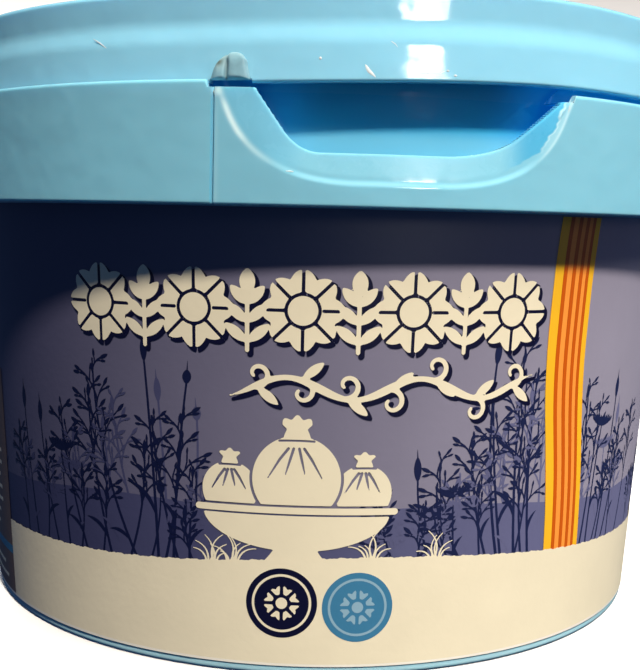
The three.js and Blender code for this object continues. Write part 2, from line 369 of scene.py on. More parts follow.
def moulded_polypropylene(name, rgb, whitening_and_highlight):
    """Injection-moulded polypropylene, light blue, from a polished mould.

    It looks waxy: a clean gloss over a body that lets a little light in, faint flow waves about 3
    mm across, fine handling scuffs that only touch the gloss, and white where it was bent, which
    along some edges is also a painted highlight (the attribute "stress"). It has painted shade
    that deepens its colour (the attribute "thin"), is duller where the mould was etched (the
    attribute "matt"), and has a painted glow, an emission in deep blue that stands in for light
    seeping through from behind (the attribute "lit").
    """
    material, tree, shader, place = surface(name, {
        "IOR": PLASTIC_IOR, "Subsurface Weight": 0.25, "Subsurface Radius": (0.5, 1.0, 1.2),
        "Subsurface Scale": 1.6 * MM, "Emission Color": (*PAINTED_GLOW_COLOUR, 1)})
    tone = add_node(tree, "ShaderNodeTexNoise", inputs={
        "Vector": place, "Scale": per_mm(26), "Detail": 2.0, "Roughness": 0.5})
    shade = add_node(tree, "ShaderNodeMapRange", inputs={
        "Value": tone.outputs["Fac"], "From Min": 0.3, "From Max": 0.7})
    body = add_node(tree, "ShaderNodeMix", FOR_COLOURS, {
        FACTOR: shade.outputs[0], COLOUR_A: (*(0.93 * c for c in rgb), 1), COLOUR_B: (*rgb, 1)})
    # The colours of painted shade, and of whitened plastic that also serves as a painted
    # highlight.
    thin = np.multiply(rgb, PAINTED_SHADE_KEEPS)
    layer = tinted(tree, body.outputs[MIXED], {"thin": thin, "stress": whitening_and_highlight})
    tree.links.new(layer, shader.inputs["Base Color"])
    scuff = add_node(tree, "ShaderNodeTexNoise", inputs={
        "Vector": place, "Scale": per_mm(3.5), "Detail": 6.0, "Roughness": 0.7, "Distortion": 0.4})
    gloss = add_node(tree, "ShaderNodeMapRange", inputs={
        "Value": scuff.outputs["Fac"], "From Min": 0.4, "From Max": 0.75, "To Min": 0.09,
        "To Max": 0.13})
    matt, lit = (add_node(tree, "ShaderNodeAttribute", {"attribute_name": key}).outputs["Fac"]
                 for key in ("matt", "lit"))
    # Etching raises the roughness and lowers the specular level; the painted glow is emission.
    for amount, rate, start, socket in ((matt, ETCHED_ROUGHNESS, gloss.outputs[0], "Roughness"),
                                        (matt, ETCHED_SPECULAR, 0.5, "Specular IOR Level"),
                                        (lit, PAINTED_GLOW_STRENGTH, 0.0, "Emission Strength")):
        level = add_node(tree, "ShaderNodeMath", {"operation": "MULTIPLY_ADD"},
                         {0: amount, 1: rate, 2: start})
        tree.links.new(level.outputs[0], shader.inputs[socket])
    flow = add_node(tree, "ShaderNodeTexNoise", inputs={
        "Vector": place, "Scale": per_mm(3), "Detail": 1.0, "Roughness": 0.35})
    waves = add_node(tree, "ShaderNodeBump", inputs={
        "Height": flow.outputs["Fac"], "Distance": 0.09 * MM})
    relief = add_node(tree, "ShaderNodeBump", inputs={
        "Height": scuff.outputs["Fac"], "Distance": 0.004 * MM, "Strength": 0.5,
        "Normal": waves.outputs[0]})
    tree.links.new(relief.outputs[0], shader.inputs["Normal"])
    return material


def printed_film(name, deep, bright, roughness):
    """Polypropylene film, printed on its back and fused to the wall in the mould.

    It is satin, with the fine pebble that the mould leaves, about 0.45 mm from crest to crest, so
    its sheen breaks up into small points. A graded ink runs from its deep to its bright colour
    with the attribute "grade": partly a printed gradient and partly painted light, painted sheen
    on the bright side and painted shade on the dark side. A flat ink has the same colour twice.
    """
    material, tree, shader, place = surface(name, {"IOR": FILM_IOR, "Roughness": roughness})
    grade = add_node(tree, "ShaderNodeAttribute", {"attribute_name": "grade"})
    graded = add_node(tree, "ShaderNodeMix", FOR_COLOURS, {
        FACTOR: grade.outputs["Fac"], COLOUR_A: (*deep, 1), COLOUR_B: (*bright, 1)})
    blotch = add_node(tree, "ShaderNodeTexNoise", inputs={
        "Vector": place, "Scale": per_mm(7), "Detail": 3.0, "Roughness": 0.6})
    level = add_node(tree, "ShaderNodeMapRange", inputs={
        "Value": blotch.outputs["Fac"], "From Min": 0.3, "From Max": 0.7, "To Min": 0.955})
    tint = add_node(tree, "ShaderNodeVectorMath", {"operation": "SCALE"},
                    {0: graded.outputs[MIXED], "Scale": level.outputs[0]})
    tree.links.new(tint.outputs[0], shader.inputs["Base Color"])
    pebble = add_node(tree, "ShaderNodeTexNoise", inputs={
        "Vector": place, "Scale": per_mm(0.9), "Detail": 2.0, "Roughness": 0.55})
    relief = add_node(tree, "ShaderNodeBump", inputs={
        "Height": pebble.outputs["Fac"], "Distance": 0.05 * MM, "Strength": 0.30})
    tree.links.new(relief.outputs[0], shader.inputs["Normal"])
    return material


def stretched_plastic(name, rgb):
    """Polypropylene that was torn and stretched: paler, cloudy, with a dull fibrous face.

    The attribute "stress" turns it a paler grey teal, for whitening and for painted highlight, and
    "soil" adds a greenish brown, for a smudge and for painted shade.
    """
    material, tree, shader, place = surface(name, {
        "IOR": PLASTIC_IOR, "Roughness": 0.38, "Subsurface Weight": 0.3,
        "Subsurface Radius": (0.7, 1.0, 1.1), "Subsurface Scale": 1.0 * MM})
    cloud = add_node(tree, "ShaderNodeTexNoise", inputs={
        "Vector": place, "Scale": per_mm(1.4), "Detail": 4.0, "Roughness": 0.6})
    body = add_node(tree, "ShaderNodeMix", FOR_COLOURS, {
        FACTOR: cloud.outputs["Fac"], COLOUR_A: (*(0.72 * c for c in rgb), 1),
        COLOUR_B: (*rgb, 1)})
    tints = {"stress": linear("#93B3B6"), "soil": linear("#4E5648")}
    layer = tinted(tree, body.outputs[MIXED], tints)
    tree.links.new(layer, shader.inputs["Base Color"])
    relief = add_node(tree, "ShaderNodeBump", inputs={
        "Height": cloud.outputs["Fac"], "Distance": 0.05 * MM, "Strength": 0.5})
    tree.links.new(relief.outputs[0], shader.inputs["Normal"])
    return material


def painted_sweep(name, rgb):
    """Matt studio paint on a smooth board: even, with the faintest mottle."""
    material, tree, shader, place = surface(name, {"Roughness": 0.9})
    mottle = add_node(tree, "ShaderNodeTexNoise", inputs={
        "Vector": place, "Scale": per_mm(120), "Detail": 2.0})
    tint = add_node(tree, "ShaderNodeMix", FOR_COLOURS, {
        FACTOR: mottle.outputs["Fac"], COLOUR_A: (*(0.97 * c for c in rgb), 1),
        COLOUR_B: (*rgb, 1)})
    tree.links.new(tint.outputs[MIXED], shader.inputs["Base Color"])
    return material


def material_once(name, maker, *values):
    """The named material, made on first use."""
    return bpy.data.materials.get(name) or maker(name, *values)


def ink(finishes, key, roughness=SATIN):
    """The printed film's material in one of its inks, graded if the ink has a deep colour."""
    bright = tuple(getattr(finishes, key))
    deep = tuple(getattr(finishes, key + "_deep", bright))
    return material_once("printed_film_" + key, printed_film, deep, bright, roughness)


# The angle where graded inks are brightest, and how strongly they change round the tub. The change
# is partly a printed gradient and partly painted light: painted sheen towards that angle, painted
# shade away from it.
BRIGHT_SIDE = 66
GRADING = 0.6


def brightness(angle):
    """How bright a graded ink is: exp(grading cos(angle - bright side)), scaled to 0 to 1."""
    wave = np.exp(GRADING * np.cos(np.radians(angle - BRIGHT_SIDE)))
    return (wave - math.exp(-GRADING)) / (math.exp(GRADING) - math.exp(-GRADING))


# ---------------------------------------------------------------- tub moulding

# Two outlines of the finger scoop on the collar's face: each side's angle at the collar's top and
# at the floor, the floor's height, and how far its corner bends reach along the floor and up.
MOUTH = SimpleNamespace(left=-21.2, right=21.3, floor_left=-16.6, floor_right=16.2, floor=60.2,
                        left_corner=11.5, right_corner=12, rise=8)
RIM = SimpleNamespace(left=-17.3, right=20.8, floor_left=-11.8, floor_right=10.6, floor=63.8,
                      left_corner=2.6, right_corner=6.5, rise=2.5)
# Wall between the scoop and the channel under the collar.
WEB = 1.2
# How far the outlines' sides are carried on, and how many points each corner bend has.
OUTLINE_REACH = 9.0
OUTLINE_STEPS = 24

# The bevel between mouth and rim: its least width, and the angles over which it grows shallower
# at the left and right side, to a share of its depth.
BEVEL_WIDTH = 0.35
LEFT_BEVEL, RIGHT_BEVEL = (-16.5, -10), (12, 17)
LEFT_SHARE, RIGHT_SHARE = 0.5, 0.6
# On the floor a riser and a tread come first: where each ends, inside the mouth, its slope, how
# deep the tread ends, and the angles over which both give way to the plain sides.
RISER_END, RISER_SLOPE = 0.55, 0.55
TREAD_END, TREAD_SLOPE, TREAD_DEPTH = 1.15, 0.10, 0.36
LEFT_FLOOR, RIGHT_FLOOR = (-15.5, -10), (13.5, 17)
# Past the rim the scoop drops to its full depth within this.
WALL_RUN = 0.4

# The torn right side: where it sets in, its step's place and height, how ragged the step is, and
# its waves as size, radians per millimetre and start.
TORN_ANGLE, TORN_HEIGHT = (15.5, 18.0), (61.2, 63.5)
STEP_PLACE, STEP_HEIGHT, STEP_RAGGED = 0.95, 0.16, 0.24
STEP_WAVES = ((0.55, 2.1, 0.4), (0.30, 4.7, 2.0), (0.22, 8.3, 0.9))
# The nick at the top of the split, where the plastic has whitened.
NICK_ANGLE, NICK_HEIGHT = -20.8, 70.3


def scoop_outline(shape, top):
    """Points (angle, height) down the left side of a scoop outline, along its floor and up.

    Each side is a straight line, carried on above the collar. Between side and floor runs a
    quadratic bend: (1-t)^2 start + 2t(1-t) control + t^2 end, with the control in the corner.
    """
    rise = shape.rise / (top - shape.floor)
    left_turn = np.array([mix(shape.floor_left, shape.left, rise), shape.floor + shape.rise])
    right_turn = np.array([mix(shape.floor_right, shape.right, rise), shape.floor + shape.rise])
    left_top, right_top = np.array([shape.left, top]), np.array([shape.right, top])
    reach = OUTLINE_REACH / (top - left_turn[1])
    start = left_top + (left_top - left_turn) * reach
    end = right_top + (right_top - right_turn) * reach
    floor_start = np.array([shape.floor_left + shape.left_corner, shape.floor])
    floor_end = np.array([shape.floor_right - shape.right_corner, shape.floor])
    t = np.linspace(0, 1, OUTLINE_STEPS)[:, None]

    def bend(a, control, b):
        """Points of the quadratic bend from a to b."""
        return (1 - t) ** 2 * a + 2 * t * (1 - t) * control + t ** 2 * b

    left_bend = bend(left_turn, np.array([shape.floor_left, shape.floor]), floor_start)
    right_bend = bend(floor_end, np.array([shape.floor_right, shape.floor]), right_turn)
    return np.vstack([start, left_bend, right_bend, end])


def inside_distance(angle, height, outline, radius):
    """Distance to an outline on the unrolled collar, positive above it and negative below.

    The distance to a segment from a to b is |p - a - h (b - a)|, h being the clamped share of the
    way along at which p lies.
    """
    points = np.stack([np.radians(angle) * radius, height], -1)[..., None, :]
    path = np.stack([np.radians(outline[:, 0]) * radius, outline[:, 1]], -1)
    a, step = path[:-1], path[1:] - path[:-1]
    share = np.clip(((points - a) * step).sum(-1) / (step ** 2).sum(-1), 0, 1)
    gap = np.linalg.norm(points - a - share[..., None] * step, axis=-1).min(-1)
    above = height > np.interp(angle, outline[:, 0], outline[:, 1])
    return np.where(above, gap, -gap)


def scoop_relief(angle, height, tub):
    """The scoop at points of the collar's face: depth, plastic's values, shift behind its rim.

    With s the distance inside the mouth outline and w the distance from mouth to rim outline, a
    plain side falls evenly from 0 at s = 0 to the bevel's depth at s = w. The floor has a rounded
    edge and a short riser first, 0.3 deep at its end, then a tread, and then falls evenly to the
    bevel's depth at w. Past the rim the scoop drops to its full depth, and widens by a turn and a
    fall, so that its sides lie hidden behind the rim. Every change of slope is a small knee.
    On the torn right side a ragged step runs about 1 inside the mouth, with painted shade within
    it. The values are 0 to 1: whitening, with a painted highlight along the mouth's left edge;
    painted shade; and dullness.
    """
    mouth = scoop_outline(MOUTH, tub.collar_top)
    rim = scoop_outline(RIM, tub.collar_top)
    s = inside_distance(angle, height, mouth, tub.collar_radius)
    inner = inside_distance(angle, height, rim, tub.collar_radius)
    w = np.maximum(s - inner, BEVEL_WIDTH)
    behind = smooth(inner, 0.04, 0.45)
    left = 1 - smooth(angle, -13.5, -9)

    bevel = tub.bevel_depth * mix(LEFT_SHARE, 1, smooth(angle, *LEFT_BEVEL))
    bevel = bevel * mix(1, RIGHT_SHARE, smooth(angle, *RIGHT_BEVEL))
    plain = bevel / w * (knee(s, np.minimum(0.20, 0.4 * w)) - knee(inner, 0.10))
    slope = np.maximum(bevel - TREAD_DEPTH, 0) / np.maximum(w - TREAD_END, 0.5)
    stepped = RISER_SLOPE * knee(s, 0.11)
    stepped += (TREAD_SLOPE - RISER_SLOPE) * knee(s - RISER_END, 0.11)
    stepped += (slope - TREAD_SLOPE) * knee(s - TREAD_END, 0.12) - slope * knee(inner, 0.10)
    floor = smooth(w, 2.3, 3.2) * smooth(angle, *LEFT_FLOOR) * (1 - smooth(angle, *RIGHT_FLOOR))
    fall = (tub.scoop_depth - bevel) / WALL_RUN
    wall = fall * (knee(inner, 0.03) - knee(inner - WALL_RUN, 0.06))
    relief = np.clip(mix(plain, stepped, floor) + wall, 0, tub.scoop_depth)

    torn = smooth(angle, *TORN_ANGLE) * smooth(height, *TORN_HEIGHT)
    ragged = sum(size * np.sin(rate * height + start) for size, rate, start in STEP_WAVES)
    past_step = s - STEP_PLACE - STEP_RAGGED * ragged
    shred = 1 - smooth(past_step, -0.08, 0.08)
    shred *= torn * smooth(s, 0.30, 0.55) * smooth(w, 1.1, 1.6)
    relief = relief - STEP_HEIGHT * shred * smooth(relief, 0.15, 0.25)

    # Whitening along the mouth's edge, the torn side and the nick; along the left part of the
    # edge, strongest over a band of heights, it is also a painted highlight of the rounded edge.
    edge = np.exp(-((s - 0.20) / mix(0.20, 0.32, left)) ** 2)
    whitest = smooth(height, 61.5, 64.5) * (0.5 + 0.5 * smooth(height, 64.5, 66.0))
    whitest *= 1 - 0.7 * smooth(height, 68.5, 70.0)
    stress = edge * (0.95 * left * whitest + 0.05 * (1 - left) * (1 - torn) + 0.45 * torn)
    stress += 0.15 * shred + 0.35 * torn * np.exp(-(past_step / 0.10) ** 2)
    from_nick = ((angle - NICK_ANGLE) / 0.5) ** 2 + ((height - NICK_HEIGHT) / 0.5) ** 2
    stress += 0.6 * np.exp(-from_nick)
    # Painted shade: a deeper, darker blue inside the torn step, on the left flank, and inside the
    # scoop, most in its upper part where the lid's shadow falls.
    thin = 0.72 * smooth(past_step, 0.0, 0.25) * smooth(angle, 11.0, 15.5)
    thin += 0.22 * smooth(s, 0.35, 0.9) * (1 - smooth(angle, -14.5, -10))
    thin = mix(thin, mix(0.36, 0.94, smooth(height, 65.6, 67.6)), behind)
    matt = smooth(s, 0.6, 1.3) * (1 - behind)

    turned = behind * (3.6 * smooth(angle, 5, 14) - 1.7 * smooth(-angle, 3, 11))
    fallen = 0.5 * behind * (1 - smooth(height, 64.4, 66.4))
    return relief, np.clip([stress, thin, matt], 0, 1), turned, fallen


def onto_rim(angle, height, tub, reach):
    """Moves points that lie within a reach of the scoop's rim outline onto it.

    With d the signed distance to the outline and g its gradient, a point moves by -d g.
    """
    rim = scoop_outline(RIM, tub.collar_top)
    radius = tub.collar_radius
    small = 0.01
    span = math.degrees(small / radius)
    here = inside_distance(angle, height, rim, radius)
    across = (inside_distance(angle + span, height, rim, radius) - here) / small
    upward = (inside_distance(angle, height + small, rim, radius) - here) / small
    near = (np.abs(here) < reach) * here
    return angle - near * across * span / small, height - near * upward


# Columns stand close together within this many degrees of the scoop's middle, and wide elsewhere.
FINE_HALF, FINE_STEP = 25, 0.12
COARSE_STEP = 3.0
# Points of the face that lie this close to the rim's outline are moved onto it.
RIM_REACH = 0.095
# The split: where its columns and its walls stand, in half widths, how deep it is, how far its
# nick sinks at the collar's top, and where the torn lip sets in, in degrees to its left.
SPLIT_COLUMNS = (-1.25, -1, -0.8, 0, 0.8, 1, 1.25)
SPLIT_WALL = (0.35, 1.1)
SPLIT_DEPTH = 0.34
SPLIT_NICK = 0.6
TORN_LIP = (0.85, 0.70)
# How pale the foot is, and how much painted shade deepens the colour of the seat and neck.
FOOT_STRESS, NECK_PAINTED_SHADE = 0.3, 0.85


def tub_columns(tub):
    """Column angles, fine round the scoop and coarse elsewhere, with extra ones at the split."""
    fine = np.arange(-FINE_HALF, FINE_HALF + 0.01, FINE_STEP)
    wide_from = FINE_HALF + COARSE_STEP
    coarse = np.arange(wide_from, 360 - wide_from, COARSE_STEP)
    half = math.degrees(tub.split_width / 2 / tub.collar_radius)
    near = fine[np.abs(fine - tub.split_angle) > half + 0.1]
    walls = tub.split_angle + half * np.array(SPLIT_COLUMNS)
    return np.sort(np.concatenate([near, walls, coarse])), half


def tub_sections(tub):
    """Sections of foot and wall, of the collar's face with lip, seat and neck, and of the top."""
    skirt_inner = tub.collar_radius - tub.collar_wall
    lip_inner = tub.collar_radius - tub.collar_lip
    foot = refined(rounded([
        (0, 0.9, 0), (46.4, 0.9, 0.4), (47.3, 0, 0.35), (tub.base_radius, 0, 0.5),
        (tub.base_radius, tub.rim_height, 0.12), (tub.wall_top_radius, tub.collar_bottom, 0),
    ]), 8.0)
    face = refined(rounded([
        (skirt_inner, tub.collar_bottom + 0.3, 0), (skirt_inner, tub.collar_bottom, 0.12),
        (tub.collar_radius, tub.collar_bottom, 0.3), (tub.collar_radius, tub.collar_top, 0.45),
        (lip_inner, tub.collar_top, 0.15), (lip_inner, tub.seat, 0.1),
        (tub.neck_radius, tub.seat, 0.15), (tub.neck_radius, 74.5, 0),
    ]), 0.14)
    top = rounded([(tub.neck_radius, 74.6, 0), (tub.neck_radius, tub.neck_top, 0.5),
                   (0, tub.neck_top, 0)])
    return foot, face, top


def channel_rows(tub, angle):
    """Rows round the channel under the collar; its ceiling stays a web's width off the scoop."""
    def under(shape):
        """The channel's ceiling under one outline of the scoop."""
        outline = scoop_outline(shape, tub.collar_top).T
        return np.minimum(tub.channel_top, np.interp(angle, *outline, left=99, right=99) - WEB)

    skirt_inner = tub.collar_radius - tub.collar_wall
    under_mouth, under_back = under(MOUTH), under(RIM)
    radius = np.array([tub.neck_radius, tub.neck_radius, tub.neck_radius + 0.2,
                       skirt_inner - 0.2, skirt_inner, skirt_inner])
    flat = np.ones(len(angle))
    height = np.stack([(tub.collar_bottom + 0.8) * flat, under_back - 0.2, under_back,
                       under_mouth, under_mouth - 0.2, (tub.collar_bottom + 0.35) * flat])
    return np.stack([radius[:, None] * flat, height], -1)


def tub_surface(tub):
    """The whole tub as rows times columns of points, with whitening and painted highlight, painted
    shade, dullness and painted glow.

    Rows run from the middle of the underside, over the foot, up the wall, round the channel under
    the collar, up the collar's face, over the lip and seat, up the neck and in to the middle.
    """
    angle, half = tub_columns(tub)
    count = len(angle)
    foot, face, top = tub_sections(tub)
    lip_inner = tub.collar_radius - tub.collar_lip
    # Face with its scoop: above the seat the wall of the scoop ends level with the seat.
    row_radius = np.repeat(face[:, :1], count, 1)
    row_height = np.repeat(face[:, 1:], count, 1)
    columns = np.repeat(angle[None], len(face), 0)
    near = np.abs(angle) < FINE_HALF + 1
    relief, turned, fallen = np.zeros((3, *row_radius.shape))
    looks = np.zeros((4, *row_radius.shape))
    on_face = (face[:, 0] > tub.collar_radius - 0.02) & (face[:, 1] < tub.seat - 0.1)
    patch = np.ix_(on_face, near)
    columns[patch], row_height[patch] = onto_rim(columns[patch], row_height[patch], tub, RIM_REACH)
    relief[:, near], looks[:3, :, near], _, _ = scoop_relief(
        columns[:, near], row_height[:, near], tub)
    above_seat = (row_height > tub.seat) & (row_radius > lip_inner - 0.2)
    torn_lip = smooth(columns, *(tub.split_angle - np.array(TORN_LIP)))
    torn_lip *= 1 - smooth(columns, -17, -16)
    sink = np.maximum(smooth(relief, 0.02, 0.25), torn_lip)
    row_height = np.where(above_seat, mix(row_height, tub.seat, sink), row_height)
    relief[:, near], _, turned[:, near], fallen[:, near] = scoop_relief(
        columns[:, near], row_height[:, near], tub)
    row_radius = np.minimum(row_radius, tub.collar_radius - relief)
    # Split: a shallow slit up the skirt, with a nick where it meets the upper edge, a painted
    # highlight to its right and painted shade along its left side.
    off = (columns - tub.split_angle) / half
    slit = 1 - smooth(np.abs(off), *SPLIT_WALL)
    on_skirt = (face[:, :1] > lip_inner - 0.05) & (np.arange(len(face)) > 1)[:, None]
    outer = row_radius > lip_inner + 0.2
    at_top = face[:, 1:] > tub.collar_top - 0.1
    row_radius = row_radius - SPLIT_DEPTH * slit * on_skirt * outer
    row_height = row_height - SPLIT_NICK * slit * at_top * (1 - sink)
    # Painted highlight on the edge to the right of the split.
    split_highlight = 0.10 * np.exp(-((off - 2.6) / 1.3) ** 2) * (face[:, :1] > tub.collar_radius - 0.5)
    looks[0] = np.maximum(looks[0], split_highlight)
    # Painted shade along the split's left side, and over the seat and neck.
    looks[1] = np.maximum(looks[1], 0.42 * np.exp(-((off + 1.0) / 0.6) ** 2) * on_skirt)
    looks[1] = np.where(face[:, :1] < lip_inner - 0.05, NECK_PAINTED_SHADE, looks[1])
    # Painted glow: emission that stands in for light seeping in at both ends of the scoop, deep
    # inside, and more at the right.
    looks[3] = smooth(columns, 9, 17) + 0.4 * smooth(-columns, 7, 14)
    looks[3] *= smooth(tub.collar_radius - row_radius, 1.3, 2.0)

    def rows(section):
        """A section's points, repeated at every column."""
        return np.repeat(section[:, None, :], count, 1)

    channel = channel_rows(tub, angle)
    sections = [rows(foot), channel, np.stack([row_radius, row_height - fallen], -1), rows(top)]
    grid = np.concatenate(sections)
    values = np.zeros((4, *grid.shape[:2]))
    angles = np.repeat(angle[None], len(grid), 0)
    first = len(foot) + len(channel)
    values[0, :len(foot)] = FOOT_STRESS
    values[:, first:first + len(face)] = looks
    angles[first:first + len(face)] = columns + turned
    return ring(grid[..., 0], angles, grid[..., 1]), values


class DAIRYTUB_OT_tub_moulding(bpy.types.Operator):
    """Make the tub: foot, wall, collar with its finger scoop and split, seat and neck"""

    bl_idname = "dairytub.tub_moulding"
    bl_label = "Tub moulding"

    def execute(self, context):
        tub = in_mm(context.scene.tub_sizes)
        finishes = context.scene.tub_finishes
        plastic = material_once("moulded_polypropylene_tub", moulded_polypropylene,
                                tuple(finishes.tub), tuple(finishes.whitening_and_highlight))
        points, looks = tub_surface(tub)
        piece = make_piece("tub_moulding", points, quads(*looks.shape[1:], closed=True), plastic,
                           sharp=50, weld=0.012,
                           values=dict(zip(("stress", "thin", "matt", "lit"), looks)))
        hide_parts("tub")
        return {"FINISHED"}


# ---------------------------------------------------------------- lid moulding

def bend_rise(lid, x):
    """How far the lid is bent up at its right: the lift times a smooth step of X."""
    return lid.lift * smooth(x, lid.bend_start, lid.bend_start + lid.bend_length)


def bent_up(points, lid):
    """Points of the level lid, raised as the lid is bent."""
    rise = bend_rise(lid, points[..., 0])
    return points + np.stack([0 * rise, 0 * rise, rise], -1)


def band_at(lid, height):
    """Radius of the level lid's band, which narrows evenly from its lower edge to the ledge."""
    draft = (lid.band_radius - lid.band_top_radius) / (lid.ledge_bottom - lid.edge)
    return lid.band_radius - draft * np.maximum(np.asarray(height) - lid.edge, 0)


def lid_section(lid):
    """The lid's section, from the middle of its underside round the band and back over the top."""
    shoulder = lid.ledge_bottom - lid.band_wall / 2
    band_inner = lid.band_radius - lid.band_wall
    ring_inner = lid.stack_top_radius - lid.ring_width
    return refined(rounded([
        (0, lid.underside, 0), (lid.cavity_radius, lid.underside, 0.3),
        (lid.cavity_radius, shoulder + 1.0, 0), (band_inner, shoulder, 0),
        (band_inner, lid.edge, 0.15), (lid.band_radius, lid.edge, 0.32),
        (lid.band_top_radius, lid.ledge_bottom, 4.8),
        (lid.stack_radius, lid.ledge_top, 4.0), (lid.stack_top_radius, lid.top, 0.6),
        (ring_inner, lid.top, 0.6), (lid.panel_radius, lid.panel, 0.5), (0, lid.panel, 0),
    ], steps=6), 6.0)


# Where the tamper bridge was, and the notch that it left in the band's lower edge.
STUB_ANGLE = -19.6
NOTCH_HALF = 2.42
NOTCH_RISE = 0.5


class DAIRYTUB_OT_lid_moulding(bpy.types.Operator):
    """Make the lid: band with its notch, ledge, stacking ring and panel, bent up at the right"""

    bl_idname = "dairytub.lid_moulding"
    bl_label = "Lid moulding"

    def execute(self, context):
        lid = in_mm(context.scene.lid_sizes)
        finishes = context.scene.tub_finishes
        plastic = material_once("moulded_polypropylene_lid", moulded_polypropylene,
                                tuple(finishes.lid), tuple(finishes.whitening_and_highlight))
        section = lid_section(lid)
        sides = STUB_ANGLE + NOTCH_HALF * np.array([-1.02, -0.98, 0.98, 1.02])
        angle = np.sort(np.concatenate([np.arange(-180, 180, 1.0), sides]))
        lifted = lid.edge + NOTCH_RISE * (np.abs(angle - STUB_ANGLE) < NOTCH_HALF)
        height = np.maximum(section[:, 1:], lifted[None])
        points = bent_up(ring(section[:, :1], angle[None], height), lid)
        piece = make_piece("lid_moulding", points, quads(*height.shape, closed=True), plastic,
                           sharp=50, weld=0.012)
        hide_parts("lid")
        return {"FINISHED"}


# ---------------------------------------------------------------- printed film

def wall_radius(tub, height):
    """Radius of the tapered wall at a height."""
    share = (height - tub.rim_height) / (tub.collar_bottom - tub.rim_height)
    return mix(tub.base_radius, tub.wall_top_radius, share)


def wrapped(tub, x, z, level):
    """Flat artwork (x along the arc, z up) laid on the wall, so many ink steps above the film."""
    lift = FILM_LIFT + INK_STEP * level
    return ring(wall_radius(tub, z) + lift, np.degrees(x / PRINT_RADIUS), z)


def arc(angle):
    """Distance along the artwork for an angle."""
    return np.radians(angle) * PRINT_RADIUS


def band_sheet(tub, x, low, high, level, rows=2):
    """A sheet between two edges, low(x) and high(x), as points and quads."""
    share = np.linspace(0, 1, rows)[:, None]
    z = mix(low[None], high[None], share)
    return wrapped(tub, np.repeat(x[None], rows, 0), z, level), quads(rows, len(x))


def joined(sheets):
    """Several (points, faces) sheets as one."""
    points, faces, start = [], [], 0
    for sheet_points, sheet_faces in sheets:
        flat = sheet_points.reshape(-1, 3)
        points.append(flat)
        faces.append(sheet_faces + start)
        start += len(flat)
    return np.vstack(points), faces


FILM_BOTTOM = 1.12
FILM_TOP = 57.7


class DAIRYTUB_OT_label_film(bpy.types.Operator):
    """Make the in-mould film that covers the wall, with its ground colour"""

    bl_idname = "dairytub.label_film"
    bl_label = "Label film"

    def execute(self, context):
        tub = in_mm(context.scene.tub_sizes)
        finishes = context.scene.tub_finishes
        # Both edges of the film dip into the wall.
        height = np.array([FILM_BOTTOM, FILM_BOTTOM + 0.04, 15, 30, 45, FILM_TOP - 0.04, FILM_TOP])
        inset = np.array([0.08, 0, 0, 0, 0, 0, 0.08])
        radius = wall_radius(tub, height) + FILM_LIFT - inset
        angle = np.arange(0, 360, 0.5)
        points = ring(radius[:, None], angle[None], height[:, None])
        # Painted light and print: the ground runs from its dark to its bright colour round the
        # tub.
        grade = np.repeat(brightness(angle)[None], len(height), 0)
        make_piece("label_film", points, quads(*grade.shape, closed=True),
                   ink(finishes, "film"), values={"grade": grade})
        return {"FINISHED"}


def contour_sheet(tub, inside, x_range, z_range, cell, level):
    """The region where inside(x, z) > 0, cut out of a square grid.

    Each cell gives one polygon: its corners with positive values, and on each side whose ends
    differ in sign the point where a straight line between the two values crosses zero.
    """
    x = np.arange(x_range[0], x_range[1] + cell, cell)
    z = np.arange(z_range[0], z_range[1] + cell, cell)
    grid_x, grid_z = np.meshgrid(x, z, indexing="ij")
    value = inside(grid_x, grid_z)
    value = np.where(np.abs(value) < 1e-6, 1e-6, value)
    nx, nz = value.shape
    corner = np.arange(nx * nz).reshape(nx, nz)
    fall_x, fall_z = value[:-1] - value[1:], value[:, :-1] - value[:, 1:]
    share_x = np.clip(value[:-1] / np.where(fall_x == 0, 1, fall_x), 0.02, 0.98)
    share_z = np.clip(value[:, :-1] / np.where(fall_z == 0, 1, fall_z), 0.02, 0.98)
    side_x = nx * nz + np.arange((nx - 1) * nz).reshape(nx - 1, nz)
    side_z = side_x[-1, -1] + 1 + np.arange(nx * (nz - 1)).reshape(nx, nz - 1)
    flat = np.concatenate([
        np.stack([grid_x, grid_z], -1).reshape(-1, 2),
        np.stack([grid_x[:-1] + share_x * cell, grid_z[:-1]], -1).reshape(-1, 2),
        np.stack([grid_x[:, :-1], grid_z[:, :-1] + share_z * cell], -1).reshape(-1, 2),
    ])
    on = value > 0
    slots = np.stack([corner[:-1, :-1], side_x[:, :-1], corner[1:, :-1], side_z[1:],
                      corner[1:, 1:], side_x[:, 1:], corner[:-1, 1:], side_z[:-1]], -1)
    a, b, c, d = on[:-1, :-1], on[1:, :-1], on[1:, 1:], on[:-1, 1:]
    used = np.stack([a, a != b, b, b != c, c, c != d, d, d != a], -1)
    slots, used = slots.reshape(-1, 8), used.reshape(-1, 8)
    pattern = used @ (1 << np.arange(8))
    faces = [slots[pattern == code][:, used[pattern == code][0]]
             for code in np.unique(pattern) if code]
    kept = np.unique(np.concatenate([face.ravel() for face in faces]))
    renumber = np.zeros(len(flat), int)
    renumber[kept] = np.arange(len(kept))
    points = wrapped(tub, flat[kept, 0], flat[kept, 1], level)
    return points, [renumber[face] for face in faces]


def print_piece(context, name, sheet, key, roughness=SATIN):
    """One ink of the print as a piece on the film, from a sheet of points and faces."""
    points, faces = sheet
    flat = points.reshape(-1, 3)
    # Painted light and print: each ink's share of its bright colour, by its angle round the tub.
    grade = brightness(np.degrees(np.arctan2(flat[:, 0], -flat[:, 1])))
    make_piece(name, flat, faces, ink(context.scene.tub_finishes, key, roughness),
               sharp=180, values={"grade": grade})


# ---------------------------------------------------------------- meadow

FIELD_BOTTOM = 1.5
FIELD_TOP = 12.6
HILL_BOTTOM = 11.5
HILL_TOP = 20.9


